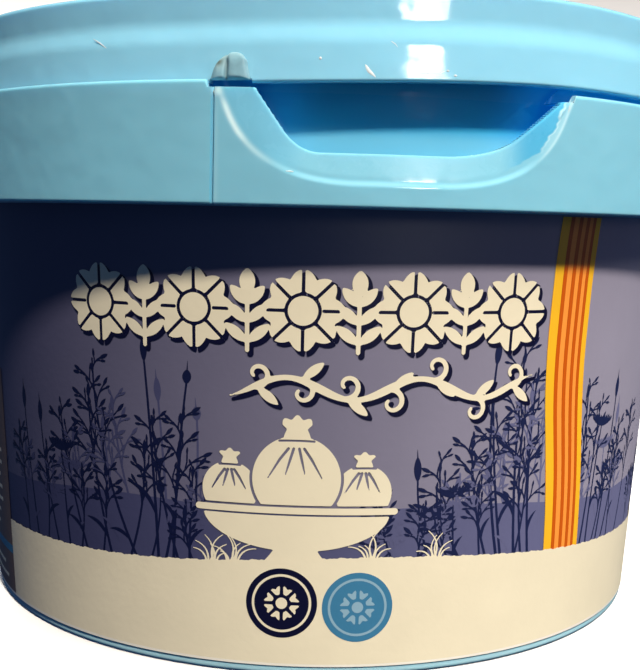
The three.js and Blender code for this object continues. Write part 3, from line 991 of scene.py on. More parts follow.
def field_edge(x):
    """Height of the cream field's edge: a bell-shaped mound in front and a small brush ripple."""
    mound = 2.8 * np.exp(-((np.degrees(x / PRINT_RADIUS) + 1) / 33) ** 2)
    ripple = 0.05 * np.sin(x * 2.3) + 0.04 * np.sin(x * 5.1 + 1.0) + 0.03 * np.sin(x * 9.7)
    return FIELD_TOP + mound + ripple


def hill_edge(x):
    """Height of the hills: two long sines that close after one turn."""
    way_round = x / PRINT_RADIUS
    return HILL_TOP + 0.7 * np.sin(3 * way_round + 2.2) + 0.5 * np.sin(7 * way_round)


def stroke_sheets(tub, paths, widths, level):
    """Many strokes of the same number of points, each a ribbon along its path.

    At each point the ribbon reaches half its width to both sides, across the path's direction.
    Every stroke lies a hair above the one before it, so that no two share a plane.
    """
    step = np.gradient(paths, axis=1)
    step /= np.linalg.norm(step, axis=-1, keepdims=True) + 1e-9
    across = np.stack([step[..., 1], -step[..., 0]], -1) * widths[..., None] / 2
    sides = np.stack([paths - across, paths + across], 2)
    count, steps = paths.shape[:2]
    hair = (np.arange(count) % 40)[:, None, None] * 0.02
    points = wrapped(tub, sides[..., 0], sides[..., 1], level + hair)
    base = (np.arange(count) * steps * 2)[:, None] + (np.arange(steps - 1) * 2)[None]
    faces = np.stack([base, base + 1, base + 3, base + 2], -1).reshape(-1, 4)
    return points.reshape(-1, 3), faces


def curved(start, end, sag, steps):
    """Paths from starts to ends, bowed sideways by a parabola of height sag."""
    t = np.linspace(0, 1, steps)[None, :, None]
    chord = end - start
    across = np.stack([-chord[:, 1], chord[:, 0]], -1)
    across /= np.linalg.norm(across, axis=-1, keepdims=True) + 1e-9
    bow = 4 * t * (1 - t) * np.broadcast_to(sag, len(start))[:, None, None] * across[:, None]
    return start[:, None] + chord[:, None] * t + bow


def lens(size, steps):
    """Widths of leaves: a sine to the power 0.75, so both ends come to a point."""
    t = np.linspace(0, 1, steps)[None]
    return np.atleast_1d(size)[:, None] * np.sin(np.pi * t) ** 0.75


def taper(size, steps, end=0.35):
    """Widths of stems that narrow evenly to a share of their size at the tip."""
    return np.atleast_1d(size)[:, None] * np.linspace(1, end, steps)[None]


# Kinds of plant.
GRASS, BULRUSH, YARROW, THISTLE = range(4)
# Plants round the front: foot angle, height over the field, kind, lean of the tip per unit height.
FRONT_PLANTS = np.array([
    (-58.0, 13.0, GRASS, -0.10), (-55.0, 17.0, BULRUSH, -0.12), (-52.5, 11.0, GRASS, 0.06),
    (-49.5, 15.5, BULRUSH, -0.20), (-47.0, 12.5, YARROW, -0.08), (-44.8, 9.0, GRASS, 0.10),
    (-43.0, 17.5, GRASS, -0.26), (-40.5, 10.0, GRASS, 0.12), (-38.4, 21.0, GRASS, -0.16),
    (-36.0, 14.0, GRASS, 0.22), (-33.6, 24.5, GRASS, -0.28), (-32.6, 8.5, THISTLE, 0.25),
    (-30.8, 26.0, BULRUSH, -0.06), (-30.2, 18.5, GRASS, 0.16), (-28.6, 23.5, THISTLE, 0.10),
    (-27.2, 18.0, GRASS, -0.22), (-26.2, 11.5, GRASS, 0.06), (-24.6, 5.5, GRASS, -0.35),
    (1.6, 6.0, GRASS, -0.35), (3.4, 8.5, GRASS, -0.42), (5.2, 7.0, GRASS, 0.10),
    (8.2, 11.5, BULRUSH, -0.28), (11.0, 9.5, YARROW, -0.10), (11.8, 6.5, GRASS, -0.55),
    (13.4, 13.0, GRASS, -0.40), (15.2, 9.5, GRASS, -0.12), (16.8, 16.0, GRASS, -0.26),
    (18.2, 26.5, BULRUSH, -0.10), (18.8, 21.5, GRASS, -0.16), (20.2, 12.5, GRASS, 0.12),
    (20.9, 27.0, GRASS, -0.04), (22.4, 18.0, GRASS, -0.10), (23.6, 24.0, GRASS, -0.05),
    (32.4, 21.5, GRASS, 0.04), (33.8, 12.0, GRASS, -0.14), (35.0, 19.0, GRASS, 0.10),
    (36.8, 16.5, YARROW, 0.08), (38.2, 9.0, GRASS, 0.20), (39.8, 20.0, BULRUSH, 0.10),
    (41.4, 15.0, GRASS, 0.18), (44.0, 12.0, GRASS, -0.08), (47.5, 17.0, GRASS, 0.12),
])
# How many plants stand round the back, and between which angles.
BACK_PLANTS, BACK_ANGLES = 64, (53, 295)
PLANT_FOOT = 12.0


def meadow_plants(rng, shift):
    """The front plants, shifted round a little, and scattered ones for the rest of the turn."""
    front = FRONT_PLANTS.copy()
    front[:, 0] += shift
    angle = np.sort(rng.uniform(*BACK_ANGLES, BACK_PLANTS))
    clumps = 15 + 6 * np.sin(np.radians(angle) * 5 + 0.6) + 3 * np.sin(np.radians(angle) * 11)
    kind = rng.choice([GRASS, GRASS, GRASS, BULRUSH, YARROW, THISTLE], BACK_PLANTS)
    back = np.stack([angle, clumps * rng.uniform(0.6, 1.1, BACK_PLANTS), kind,
                     rng.normal(0, 0.16, BACK_PLANTS)], -1)
    return np.vstack([front, back])


def along(paths, index, share):
    """Points at a share of the length of some of the paths, and the direction there."""
    place = np.clip(np.broadcast_to(share, len(index)), 0, 0.999) * (paths.shape[1] - 1)
    low = place.astype(int)
    a, b = paths[index, low], paths[index, low + 1]
    way = (b - a) / (np.linalg.norm(b - a, axis=-1, keepdims=True) + 1e-9)
    return mix(a, b, (place - low)[:, None]), way


def sprays(paths, index, share, by, reach, bow, steps):
    """Curved paths that leave others at a share of their length, turned from them by an angle."""
    root, way = along(paths, index, share)
    cos, sin = np.cos(by), np.sin(by)
    heading = np.stack([way[:, 0] * cos - way[:, 1] * sin, way[:, 0] * sin + way[:, 1] * cos], -1)
    reach = np.broadcast_to(reach, len(index))
    return curved(root, root + heading * reach[:, None], -bow * np.sign(by) * reach, steps)


def meadow(tub, rng, plants, level, scale=1.0):
    """Grasses, bulrushes, yarrow and thistles, as strokes: stems, branches, spikelets and leaves.

    Stems rise from the field. A grass carries six branches on alternate sides of its upper
    part, each with two twigs, and a spikelet sits on every end. Yarrow has a flat cap under a fan
    of short rays. A bulrush has a long bud and a thistle a short one, each with a spike. Every
    second plant has a leaf near its foot.
    """
    angle, height, kind, lean = plants.T * np.array([1, scale, 1, 1])[:, None]
    count = len(angle)
    sheets = []

    def draw(paths, widths, above=0.0):
        """Adds strokes, so many ink steps above the meadow's level."""
        sheets.append(stroke_sheets(tub, paths, widths, level + above))

    foot = np.stack([arc(angle), np.full(count, PLANT_FOOT)], -1)
    tip = foot + np.stack([lean * height, height + 2.0], -1)
    stems = curved(foot, tip, (rng.normal(0, 0.02, count) - 0.22 * lean) * height, 12)
    draw(stems, taper(0.30 + 0.006 * height, 12, 0.6))

    grass = np.flatnonzero(kind == GRASS)
    index, order = np.repeat(grass, 6), np.tile(np.arange(6), len(grass))
    share = 0.50 + 0.44 * order / 5 + rng.normal(0, 0.012, len(order))
    by = np.where(order % 2 == 0, 1, -1) * rng.uniform(0.42, 0.78, len(order))
    reach = 1.3 + height[index] * (0.32 * (0.98 - share) + 0.035)
    reach = reach * rng.uniform(0.8, 1.2, len(order))
    branches = sprays(stems, index, share, by, reach, 0.10, 5)
    draw(branches, taper(0.24, 5, 0.8), 0.9)
    twig, rank = np.repeat(np.arange(len(order)), 2), np.tile(np.arange(2), len(order))
    side = np.where(rank == 0, -1, 1) * np.sign(by[twig]) * rng.uniform(0.45, 0.75, len(twig))
    size = reach[twig] * np.where(rank == 0, 0.42, 0.30)
    twigs = sprays(branches, twig, np.where(rank == 0, 0.36, 0.66), side, size, 0.06, 3)
    draw(twigs, taper(0.22, 3, 0.9), 1.8)
    for paths, base in ((branches, 1.45), (twigs, 1.1), (stems[grass], 1.8)):
        every = np.arange(len(paths))
        size = base * rng.uniform(0.8, 1.15, len(paths))
        lean_by = rng.normal(0, 0.08, len(paths))
        draw(sprays(paths, every, 0.93, lean_by, size, 0.0, 6), lens(0.31 * size, 6), 2.7)

    yarrow = np.flatnonzero(kind == YARROW)
    tips, way = along(stems, yarrow, 0.985)
    half_cap = np.stack([way[:, 1], -way[:, 0]], -1) * (1.55 + 0.05 * height[yarrow])[:, None]
    caps = curved(tips - half_cap + way * 0.2, tips + half_cap + way * 0.2, -0.25, 9)
    draw(caps, lens(1.25, 9), 0.9)
    index, order = np.repeat(np.arange(len(yarrow)), 11), np.tile(np.arange(11), len(yarrow))
    fan = (order - 5) / 5
    root = tips[index] + half_cap[index] * (0.88 * fan)[:, None]
    out = way[index] + 0.35 * half_cap[index] * fan[:, None]
    rays = curved(root, root + out * rng.uniform(0.75, 1.05, len(order))[:, None], 0, 4)
    draw(rays, lens(0.42, 4), 1.8)

    for bud_kind, longest, plump in ((BULRUSH, 3.3, 0.30), (THISTLE, 1.9, 0.62)):
        chosen = np.flatnonzero(kind == bud_kind)
        lean_by = rng.normal(0, 0.03, len(chosen))
        buds = sprays(stems, chosen, 0.95, lean_by, longest, 0.0, 8)
        draw(buds, lens(longest * plump, 8), 0.9)
        spikes = sprays(buds, np.arange(len(chosen)), 0.9, 0.02, 1.2, 0.0, 4)
        draw(spikes, taper(0.20, 4, 0.2), 1.8)

    index = np.arange(0, count, 2)
    by = rng.choice([-1, 1], len(index)) * rng.uniform(0.35, 0.8, len(index))
    reach = 1.4 + height[index] * rng.uniform(0.08, 0.2, len(index))
    blades = sprays(stems, index, rng.uniform(0.12, 0.3, len(index)), by, reach, 0.16, 9)
    draw(blades, lens(0.32 + 0.05 * reach, 9), 1.8)
    return joined(sheets)


TUFT_BLADES = 7
TUFT_ANGLES = (-22.9, -20.0, -1.2, 7.9, 60, 84, 121, 150, -70, -96, -128, -165)


def tufts(tub, rng, level):
    """Pale grass tufts: seven fine blades fan out of each foot and bow over outwards."""
    feet = arc(np.array(TUFT_ANGLES))
    foot = np.repeat(feet, TUFT_BLADES)
    order = np.tile(np.arange(TUFT_BLADES), len(feet))
    half = (TUFT_BLADES - 1) / 2
    fan = (order - half) / half * 0.85 + rng.normal(0, 0.10, len(order))
    reach = rng.uniform(2.0, 4.2, len(order)) * (1 - 0.20 * np.abs(fan))
    start = np.stack([foot + 0.22 * (order - half), field_edge(foot) - 0.4], -1)
    end = start + np.stack([np.sin(fan), np.cos(fan)], -1) * reach[:, None]
    paths = curved(start, end, 0.20 * np.sign(fan) * reach, 8)
    return stroke_sheets(tub, paths, taper(0.29, 8), level)


class DAIRYTUB_OT_meadow_print(bpy.types.Operator):
    """Print the lower field, the hills and a meadow of grasses and flowers all round"""

    bl_idname = "dairytub.meadow_print"
    bl_label = "Meadow print"

    def execute(self, context):
        tub = in_mm(context.scene.tub_sizes)
        rng = np.random.default_rng(context.scene.tub_stage.seed)
        x = arc(np.arange(-180, 180.1, 0.25))
        level_line = np.ones(len(x))
        # The film's edge strip is a painted highlight along its rounded lower edge.
        bands = (("print_hills", "hills", SATIN, HILL_BOTTOM * level_line, hill_edge(x), 1.0, 3),
                 ("print_field", "cream", SATIN, FIELD_BOTTOM * level_line, field_edge(x), 8.0, 4),
                 ("print_film_edge", "edge", 0.3, (FILM_BOTTOM + 0.05) * level_line,
                  FIELD_BOTTOM * level_line, 8.0, 2))
        for name, key, roughness, low, high, level, rows in bands:
            print_piece(context, name, band_sheet(tub, x, low, high, level, rows), key, roughness)
        print_piece(context, "print_meadow_far",
                    meadow(tub, rng, meadow_plants(rng, 1.7)[::2], 0.4, 0.8), "hills")
        print_piece(context, "print_meadow",
                    meadow(tub, rng, meadow_plants(rng, 0.0), 1.3), "plants")
        print_piece(context, "print_tufts", tufts(tub, rng, 6.0), "cream")
        return {"FINISHED"}


# ---------------------------------------------------------------- ribbon

RIBBON_WIDTH = 7.25
RIBBON_LOW = 12.2
# The height where the ribbon is at its furthest left, its angle there, and how far it leans to the
# right below, by a smooth step over a drop.
RIBBON_TURN, RIBBON_ANGLE = 43, 27.45
RIBBON_LEAN, RIBBON_DROP = 3.1, 32
# Shares of the width at which each stripe starts and ends.
RIBBON_STRIPES = ((0.203, 0.297), (0.417, 0.511), (0.608, 0.697), (0.786, 0.867))
RIBBON_EDGES = ((0.0, 0.203), (0.867, 1.0))


def ribbon_sheet(tub, start, end, level):
    """A strip of the ribbon between two shares of its width.

    Its middle leans to the right by a smooth step below its turning height, and by a parabola
    above. Edges and stripes waver by a small sine.
    """
    z = np.linspace(RIBBON_LOW, FILM_TOP - 0.2, 60)
    middle = arc(RIBBON_ANGLE + RIBBON_LEAN * smooth(RIBBON_TURN - z, 0, RIBBON_DROP)
                 + 0.0035 * np.maximum(z - RIBBON_TURN, 0) ** 2)
    waver = 0.06 * np.sin(z / 3.1) * (end - start < 0.5)
    left = middle + RIBBON_WIDTH * (start - 0.5) + waver
    right = middle + RIBBON_WIDTH * (end - 0.5) + waver
    count = 13 if end - start > 0.5 else 3
    x = mix(left[:, None], right[:, None], np.linspace(0, 1, count))
    return wrapped(tub, x, np.repeat(z[:, None], count, 1), level), quads(len(z), count)


class DAIRYTUB_OT_ribbon_print(bpy.types.Operator):
    """Print the upright yellow ribbon with its four red stripes"""

    bl_idname = "dairytub.ribbon_print"
    bl_label = "Ribbon print"

    def execute(self, context):
        tub = in_mm(context.scene.tub_sizes)
        print_piece(context, "print_ribbon", ribbon_sheet(tub, 0, 1, 6.0), "orange")
        print_piece(context, "print_ribbon_edges",
                    joined([ribbon_sheet(tub, *edge, 6.5) for edge in RIBBON_EDGES]), "yellow")
        print_piece(context, "print_ribbon_stripes",
                    joined([ribbon_sheet(tub, *stripe, 7.0) for stripe in RIBBON_STRIPES]), "red")
        return {"FINISHED"}


# ---------------------------------------------------------------- ornament

# Stands for a distance that never decides.
FAR = 9.0


def disc(x, z, at, radius):
    """Positive inside a circle, as the distance to its edge."""
    return radius - np.hypot(x - at[0], z - at[1])


def line(x, z, path, half_width):
    """Positive inside a stroke along a path: half its width less the distance to the path.

    The half width is one number, or one for each point of the path with an even change between.
    """
    path = np.asarray(path, float)
    points = np.stack([x, z], -1)[..., None, :]
    a, step = path[:-1], path[1:] - path[:-1]
    share = np.clip(((points - a) * step).sum(-1) / (step ** 2).sum(-1), 0, 1)
    gap = np.linalg.norm(points - a - share[..., None] * step, axis=-1)
    width = np.broadcast_to(half_width, len(path))
    return (mix(width[:-1], width[1:], share) - gap).max(-1)


def leaf_shape(x, z, root, tip, width):
    """Positive inside a leaf, the overlap of two equal circles through its root and tip."""
    root, tip = np.array(root, float), np.array(tip, float)
    half = np.linalg.norm(tip - root) / 2
    radius = (half ** 2 + (width / 2) ** 2) / width
    middle = (root + tip) / 2
    across = np.array([-(tip - root)[1], (tip - root)[0]]) / (2 * half) * (radius - width / 2)
    return np.minimum(disc(x, z, middle + across, radius), disc(x, z, middle - across, radius))


def rosette(x, z, at, size):
    """Eight petals round a disc: the radius is size (0.80 + 0.20 |cos 4a|).

    A gap of 0.4 runs round the disc, and fine gaps part the petals.
    """
    dx, dz = x - at[0], z - at[1]
    radius, a = np.hypot(dx, dz), np.arctan2(dz, dx)
    outline = size * (0.80 + 0.20 * np.abs(np.cos(4 * a))) - radius
    veins = np.where(radius > 0.45 * size, np.abs(np.sin(4 * a)) * radius / 4 - 0.20, FAR)
    gap = np.abs(radius - 0.40 * size) - 0.20
    return np.minimum(np.minimum(outline, veins), gap)


def sprig(x, z, at, size):
    """An upright sprig: a stem with three pairs of leaves and one at the tip."""
    x0, z0 = at
    value = line(x, z, [(x0, z0 - size), (x0, z0 + 0.45 * size)], 0.26)
    top, tip = (x0, z0 + 0.35 * size), (x0, z0 + size)
    value = np.maximum(value, leaf_shape(x, z, top, tip, 0.38 * size))
    for k, low in enumerate((-0.80, -0.32, 0.12)):
        for side in (-1, 1):
            root = (x0, z0 + low * size)
            tip = (x0 + side * (0.56 - 0.07 * k) * size, z0 + (low + 0.46) * size)
            value = np.maximum(value, leaf_shape(x, z, root, tip, 0.27 * size))
    return value


FRIEZE_MIDDLE, FRIEZE_HEIGHT = -10.2, 45.7
FRIEZE_PITCH, FRIEZE_SIZE = 13.0, 4.9


def frieze(x, z):
    """The ornament: five rosettes at an even pitch, with a sprig in each of the gaps."""
    value = np.full_like(x, -FAR)
    for k in range(-4, 5):
        motif = sprig if k % 2 else rosette
        at = (FRIEZE_MIDDLE + FRIEZE_PITCH * k / 2, FRIEZE_HEIGHT)
        value = np.maximum(value, motif(x, z, at, FRIEZE_SIZE))
    return value


VINE_HEIGHT, VINE_SWING, VINE_LENGTH = 36.4, 1.3, 2.55
VINE_ENDS = (-18.8, 19.6)
TENDRILS, FIRST_TENDRIL, TENDRIL_PITCH = 7, -16.0, 5.35


def flourish(x, z):
    """A running vine: a swelling sine line with curled tendrils and leaves on alternate sides.

    A tendril is a spiral whose radius shrinks evenly, 1.6 - 0.22 a at its angle a.
    """
    def stem_at(place):
        """Height of the sine line at a place along it."""
        return VINE_HEIGHT + VINE_SWING * np.sin(place / VINE_LENGTH)

    t = np.linspace(*VINE_ENDS, 90)
    thinning = np.clip(1.1 - (np.abs(t - 0.4) / 19.2) ** 6, 0.25, 1)
    width = (0.32 + 0.18 * np.cos(t / VINE_LENGTH) ** 2) * thinning
    value = line(x, z, np.stack([t, stem_at(t)], -1), width)
    sweep = np.linspace(0, 5.2, 34)
    size = 1.6 - 0.22 * sweep
    for k in range(TENDRILS):
        at = FIRST_TENDRIL + TENDRIL_PITCH * k
        side = 1 if k % 2 == 0 else -1
        base = np.array([at, stem_at(at)])
        curl = np.stack([size * np.sin(sweep), -side * size * np.cos(sweep)], -1)
        curl = base + np.array([0.5, side * 1.6]) + curl
        value = np.maximum(value, line(x, z, curl, np.linspace(0.34, 0.20, len(sweep))))
        tip = base + np.array([3.1, -side * 2.1])
        value = np.maximum(value, leaf_shape(x, z, base + np.array([0.5, 0]), tip, 1.15))
    return value


BOWL_MIDDLE = -10.6


def cheese_bowl(x, z):
    """A footed bowl with a large knotted cheese between two small ones.

    The bowl is the lower half of an ellipse on a flared foot under a rounded rim. Each cheese is a
    circle with a knot: a neck, and petals that fan out above it. Thin gaps part the shapes and
    draw the folds that run down from each neck.
    """
    from_middle = np.abs(x - BOWL_MIDDLE)
    bowl = (1 - np.hypot(from_middle / 11.6, (z - 21.0) / 4.9)) * 4.9
    bowl = np.minimum(bowl, 20.6 - z)
    foot = np.minimum(2.6 + 0.55 * np.maximum(16.6 - z, 0) ** 1.4 - from_middle, 17.5 - z)
    rim = line(x, z, [(BOWL_MIDDLE - 12.2, 21.25), (BOWL_MIDDLE + 12.2, 21.25)], 0.42)
    value = np.maximum(np.maximum(bowl, foot), rim)

    def knotted(at, size, petals):
        """One cheese, with its neck, its fan of petals, the gaps beside its tie and its folds."""
        x0, z0 = at
        ball = disc(x, z, at, size)
        neck_z = z0 + 0.93 * size
        low, high = (x0, z0 + 0.35 * size), (x0, neck_z + 0.42 * size)
        shoulder = leaf_shape(x, z, low, high, 0.62 * size)
        dx, dz = x - x0, z - neck_z
        way = np.arctan2(dx, dz)
        fan = size * (0.50 + 0.045 * np.cos(petals * way)) - np.hypot(dx, dz)
        fan = np.minimum(fan, (0.80 - np.abs(way)) * np.hypot(dx, dz))
        shape = np.maximum(np.maximum(ball, shoulder), fan)
        beside_tie = np.abs(dz + 0.04 * size + 0.06 * dx ** 2 / size) - 0.13
        shape = np.where(np.abs(dx) < 0.42 * size, np.minimum(shape, beside_tie), shape)
        for lean in (-0.62, -0.24, 0.18, 0.55):
            fold = [(x0 + 0.30 * lean * size, neck_z - 0.22 * size),
                    (x0 + 0.62 * lean * size, neck_z - 0.48 * size),
                    (x0 + 1.05 * lean * size, z0 + (0.16 - 0.25 * abs(lean)) * size)]
            shape = np.minimum(shape, -line(x, z, fold, np.array([0.17, 0.16, 0.07])))
        return shape

    large = knotted((BOWL_MIDDLE, 25.2), 5.4, 11.0)
    sides = np.maximum(knotted((BOWL_MIDDLE - 8.2, 23.6), 3.5, 9.0),
                       knotted((BOWL_MIDDLE + 8.2, 23.6), 3.5, 9.0))
    sides = np.minimum(sides, -disc(x, z, (BOWL_MIDDLE, 25.2), 5.75))
    cheeses = np.minimum(np.maximum(large, sides), z - 21.95)
    return np.maximum(value, cheeses)


def roundel_figure(x, z, at, size):
    """The line work on a roundel: a ring and an eight-petal star."""
    radius = np.hypot(x - at[0], z - at[1])
    outer = 0.16 - np.abs(radius - 0.80 * size)
    return np.maximum(outer, rosette(x, z, at, 0.52 * size))


# Windows of the artwork that hold a shape, as its ranges of x and z, and places of the roundels.
FRIEZE_WINDOW = ((-43, 22), (39, 52))
VINE_WINDOW = ((-22, 23), (30, 42.5))
BOWL_WINDOW = ((-26, 4), (13.0, 36.0))
LEFT_WINDOW, RIGHT_WINDOW = ((-18, -6), (4, 15)), ((-8, 3), (4, 15))
LEFT_ROUNDEL, RIGHT_ROUNDEL = (-12.2, 9.4), (-2.6, 9.0)
ROUNDEL_SIZE = 4.5
# Grid that the shapes are cut out of.
CELL = 0.22
FINE_CELL = 0.15
# How far a shadow lies from its shape, and how much wider it is.
SHADOW = (0.42, -0.42)
SHADOW_GROWTH = 0.12


class DAIRYTUB_OT_ornament_print(bpy.types.Operator):
    """Print the cream ornament with its navy shadow, the vine, the bowl and two roundels"""

    bl_idname = "dairytub.ornament_print"
    bl_label = "Ornament print"

    def execute(self, context):
        tub = in_mm(context.scene.tub_sizes)

        def dropped(shape):
            """The shadow of a shape: the same shape, moved and grown a little."""
            return lambda x, z: shape(x - SHADOW[0], z - SHADOW[1]) + SHADOW_GROWTH

        def placed(shape, at):
            """A shape at a roundel's place, in its size."""
            return lambda x, z: shape(x, z, at, ROUNDEL_SIZE)

        left_disc, right_disc = placed(disc, LEFT_ROUNDEL), placed(disc, RIGHT_ROUNDEL)
        left_star = placed(roundel_figure, LEFT_ROUNDEL)
        right_star = placed(roundel_figure, RIGHT_ROUNDEL)
        jobs = (
            ("print_frieze_shadow", dropped(frieze), FRIEZE_WINDOW, CELL, 5.6, "navy"),
            ("print_frieze", frieze, FRIEZE_WINDOW, CELL, 6.4, "cream"),
            ("print_vine_shadow", dropped(flourish), VINE_WINDOW, CELL, 5.6, "navy"),
            ("print_vine", flourish, VINE_WINDOW, CELL, 6.4, "cream"),
            ("print_bowl", cheese_bowl, BOWL_WINDOW, FINE_CELL, 6.4, "cream"),
            ("print_roundel_navy", left_disc, LEFT_WINDOW, CELL, 9.0, "navy"),
            ("print_roundel_blue", right_disc, RIGHT_WINDOW, CELL, 9.5, "azure"),
            ("print_roundel_star", left_star, LEFT_WINDOW, CELL, 10.2, "cream"),
            ("print_roundel_ring", right_star, RIGHT_WINDOW, CELL, 10.2, "pale_azure"),
        )
        for name, shape, window, cell, level, key in jobs:
            print_piece(context, name, contour_sheet(tub, shape, *window, cell, level), key)
        return {"FINISHED"}


PANEL_ANGLES = (-128, -65.6)
PANEL_HEIGHTS = (FIELD_BOTTOM, 34.5)
STRIP_HEIGHTS = (7.4, 8.6)
# Bars of small print: two columns above the strip, and whole rows below it.
BAR_HEIGHTS, BAR_TALL = np.arange(10.6, 32.5, 1.9), 0.55
LOW_BAR_HEIGHTS = (3.0, 4.8)


class DAIRYTUB_OT_small_print(bpy.types.Operator):
    """Print the muted panel of small print, as a plain field with faint bars and a blue strip"""

    bl_idname = "dairytub.small_print"
    bl_label = "Small print panel"

    def execute(self, context):
        tub = in_mm(context.scene.tub_sizes)
        left, right = arc(np.array(PANEL_ANGLES))

        def patch(x0, x1, z0, z1, level):
            """An upright rectangle of the artwork."""
            x = np.linspace(x0, x1, max(2, math.ceil((x1 - x0) / 0.6)))
            return band_sheet(tub, x, np.full(len(x), z0), np.full(len(x), z1), level)

        print_piece(context, "print_panel", patch(left, right, *PANEL_HEIGHTS, 9.0), "panel")
        print_piece(context, "print_panel_strip", patch(left, right, *STRIP_HEIGHTS, 9.6), "azure")
        rng = np.random.default_rng(context.scene.tub_stage.seed + 1)
        bars = []
        for z in BAR_HEIGHTS:
            for x0, x1 in ((left + 3, left + 29), (left + 32, right - 1.6)):
                bars.append(patch(x0, x1 - rng.uniform(0, 5), z, z + BAR_TALL, 9.6))
        for z in LOW_BAR_HEIGHTS:
            bars.append(patch(left + 3, right - rng.uniform(3, 12), z, z + BAR_TALL, 9.6))
        print_piece(context, "print_panel_bars", joined(bars), "cream")
        return {"FINISHED"}


# ---------------------------------------------------------------- marks

# How far the edges of flakes and beads lie under the face that they sit on.
FLAKE_SUNK = 0.04
BEAD_SUNK = 0.02


def flake(radius, angle, height, wide, tall, rise):
    """A small raised flake: a grid over an ellipse, rise (1 - q^2) - sunk q^2 high at share q."""
    q = np.linspace(0.02, 1, 5)[:, None]
    a = np.linspace(0, 2 * np.pi, 14, endpoint=False)[None]
    u, v = q * np.cos(a) * wide / 2, q * np.sin(a) * tall / 2
    far = radius + rise * (1 - q ** 2) - FLAKE_SUNK * q ** 2
    points = ring(far, angle + np.degrees(u / radius), height + v)
    return points, quads(*points.shape[:2], closed=True)[:, ::-1]


def bead(radius, path, width, rise):
    """A fine bead along a path of (angle, height) points; radius is a function of the height.

    Across, at u from -1 to 1, its height is rise (1 - u^2); along, width and rise swell by the
    root of a sine, so both ends run out to nothing.
    """
    path = np.asarray(path, float)
    share = np.linspace(0, len(path) - 1, 8 * (len(path) - 1) + 1)
    spot = np.stack([np.interp(share, np.arange(len(path)), path[:, k]) for k in (0, 1)], -1)
    flat = np.stack([np.radians(spot[:, 0]) * radius(0), spot[:, 1]], -1)
    way = np.gradient(flat, axis=0)
    way /= np.linalg.norm(way, axis=-1, keepdims=True)
    swell = np.sin(np.pi * np.clip(share / share[-1], 0.02, 0.98)) ** 0.5
    u = np.linspace(-1, 1, 5)[:, None]
    x = flat[:, 0] + u * way[:, 1] * swell * width / 2
    z = flat[:, 1] - u * way[:, 0] * swell * width / 2
    far = radius(z) + rise * swell * (1 - u ** 2) - BEAD_SUNK
    return ring(far, np.degrees(x / radius(0)), z), quads(len(u), len(share))[:, ::-1]


# Marks on the lid's band, placed by angle and height as they sit on the bent lid: dots with their
# width, height and rise, and scratches with their width and rise.
LID_DOTS = (
    (-9.6, 74.2, 0.42, 0.42, 0.06),
    (5.8, 72.9, 0.5, 0.34, 0.06),
    (4.9, 73.4, 0.45, 0.3, 0.06),
)
LID_SCRATCHES = (
    (((-4.6, 73.7), (-4.2, 73.0), (-3.4, 72.3)), 0.50, 0.07),
    (((-1.7, 76.4), (-1.2, 76.1), (-0.8, 75.6)), 0.14, 0.03),
    (((0.2, 73.3), (1.4, 73.0), (2.8, 73.0), (4.0, 73.1), (4.8, 73.5)), 0.16, 0.04),
    (((-37.7, 76.9), (-36.6, 76.3), (-35.5, 75.6)), 0.16, 0.03),
)


class DAIRYTUB_OT_lid_marks(bpy.types.Operator):
    """Make the small white nicks and scratches on the lid's band"""

    bl_idname = "dairytub.lid_marks"
    bl_label = "Lid marks"

    def execute(self, context):
        lid = in_mm(context.scene.lid_sizes)
        plastic = material_once("scuffed_polypropylene", stretched_plastic, linear("#E9F6F8"))

        def seated(angle, height):
            """Height on the level lid of a mark's height on the bent one."""
            return height - bend_rise(lid, lid.band_radius * np.sin(np.radians(angle)))

        sheets = []
        for angle, height, wide, tall, rise in LID_DOTS:
            here = seated(angle, height)
            sheets.append(flake(band_at(lid, here), angle, here, wide, tall, rise))
        for path, width, rise in LID_SCRATCHES:
            here = [(angle, seated(angle, height)) for angle, height in path]
            sheets.append(bead(lambda z: band_at(lid, z), here, width, rise))
        points, faces = joined(sheets)
        make_piece("lid_marks", bent_up(points, lid), faces, plastic, sharp=180)
        return {"FINISHED"}


# Torn whiskers along the scoop's edge, most at its right side: (angle, height) paths, width, rise.
SCOOP_WHISKERS = (
    (((19.9, 69.2), (20.3, 69.9), (20.4, 70.6)), 0.42, 0.22),
    (((20.2, 70.2), (20.9, 70.7), (21.5, 71.0)), 0.46, 0.24),
    (((20.7, 69.9), (21.1, 70.4), (21.2, 71.0)), 0.34, 0.20),
    (((19.3, 68.0), (19.8, 68.5), (20.1, 69.3)), 0.30, 0.15),
    (((16.6, 64.3), (17.2, 64.8), (17.4, 65.4)), 0.26, 0.14),
    (((-21.2, 70.4), (-20.9, 69.9), (-20.9, 69.3)), 0.34, 0.12),
    (((-14.0, 61.9), (-12.9, 61.6), (-12.2, 61.6)), 0.30, 0.09),
)


class DAIRYTUB_OT_scoop_burrs(bpy.types.Operator):
    """Make the torn whiskers along the edge of the finger scoop"""

    bl_idname = "dairytub.scoop_burrs"
    bl_label = "Scoop burrs"

    def execute(self, context):
        tub = in_mm(context.scene.tub_sizes)
        plastic = material_once("torn_polypropylene", stretched_plastic, linear("#CDE9EE"))
        sheets = []
        for path, width, rise in SCOOP_WHISKERS:
            middle = np.array(path[1])
            depth = scoop_relief(middle[:1], middle[1:], tub)[0]
            base = tub.collar_radius - max(depth[0], rise + BEAD_SUNK)
            sheets.append(bead(lambda z, base=base: base + 0 * np.asarray(z), path, width, rise))
        points, faces = joined(sheets)
        make_piece("scoop_burrs", points, faces, plastic, sharp=180)
        return {"FINISHED"}


# Heights of the stub on the level lid, and its half width at the foot and at the top.
STUB_FOOT, STUB_TOP = 71.62, 74.80
STUB_WIDE, STUB_NARROW = 2.35, 1.62
STUB_RISE = 0.72
# Where the groove that parts the stub's two lobes runs, to the left of its middle.
GROOVE = 0.42


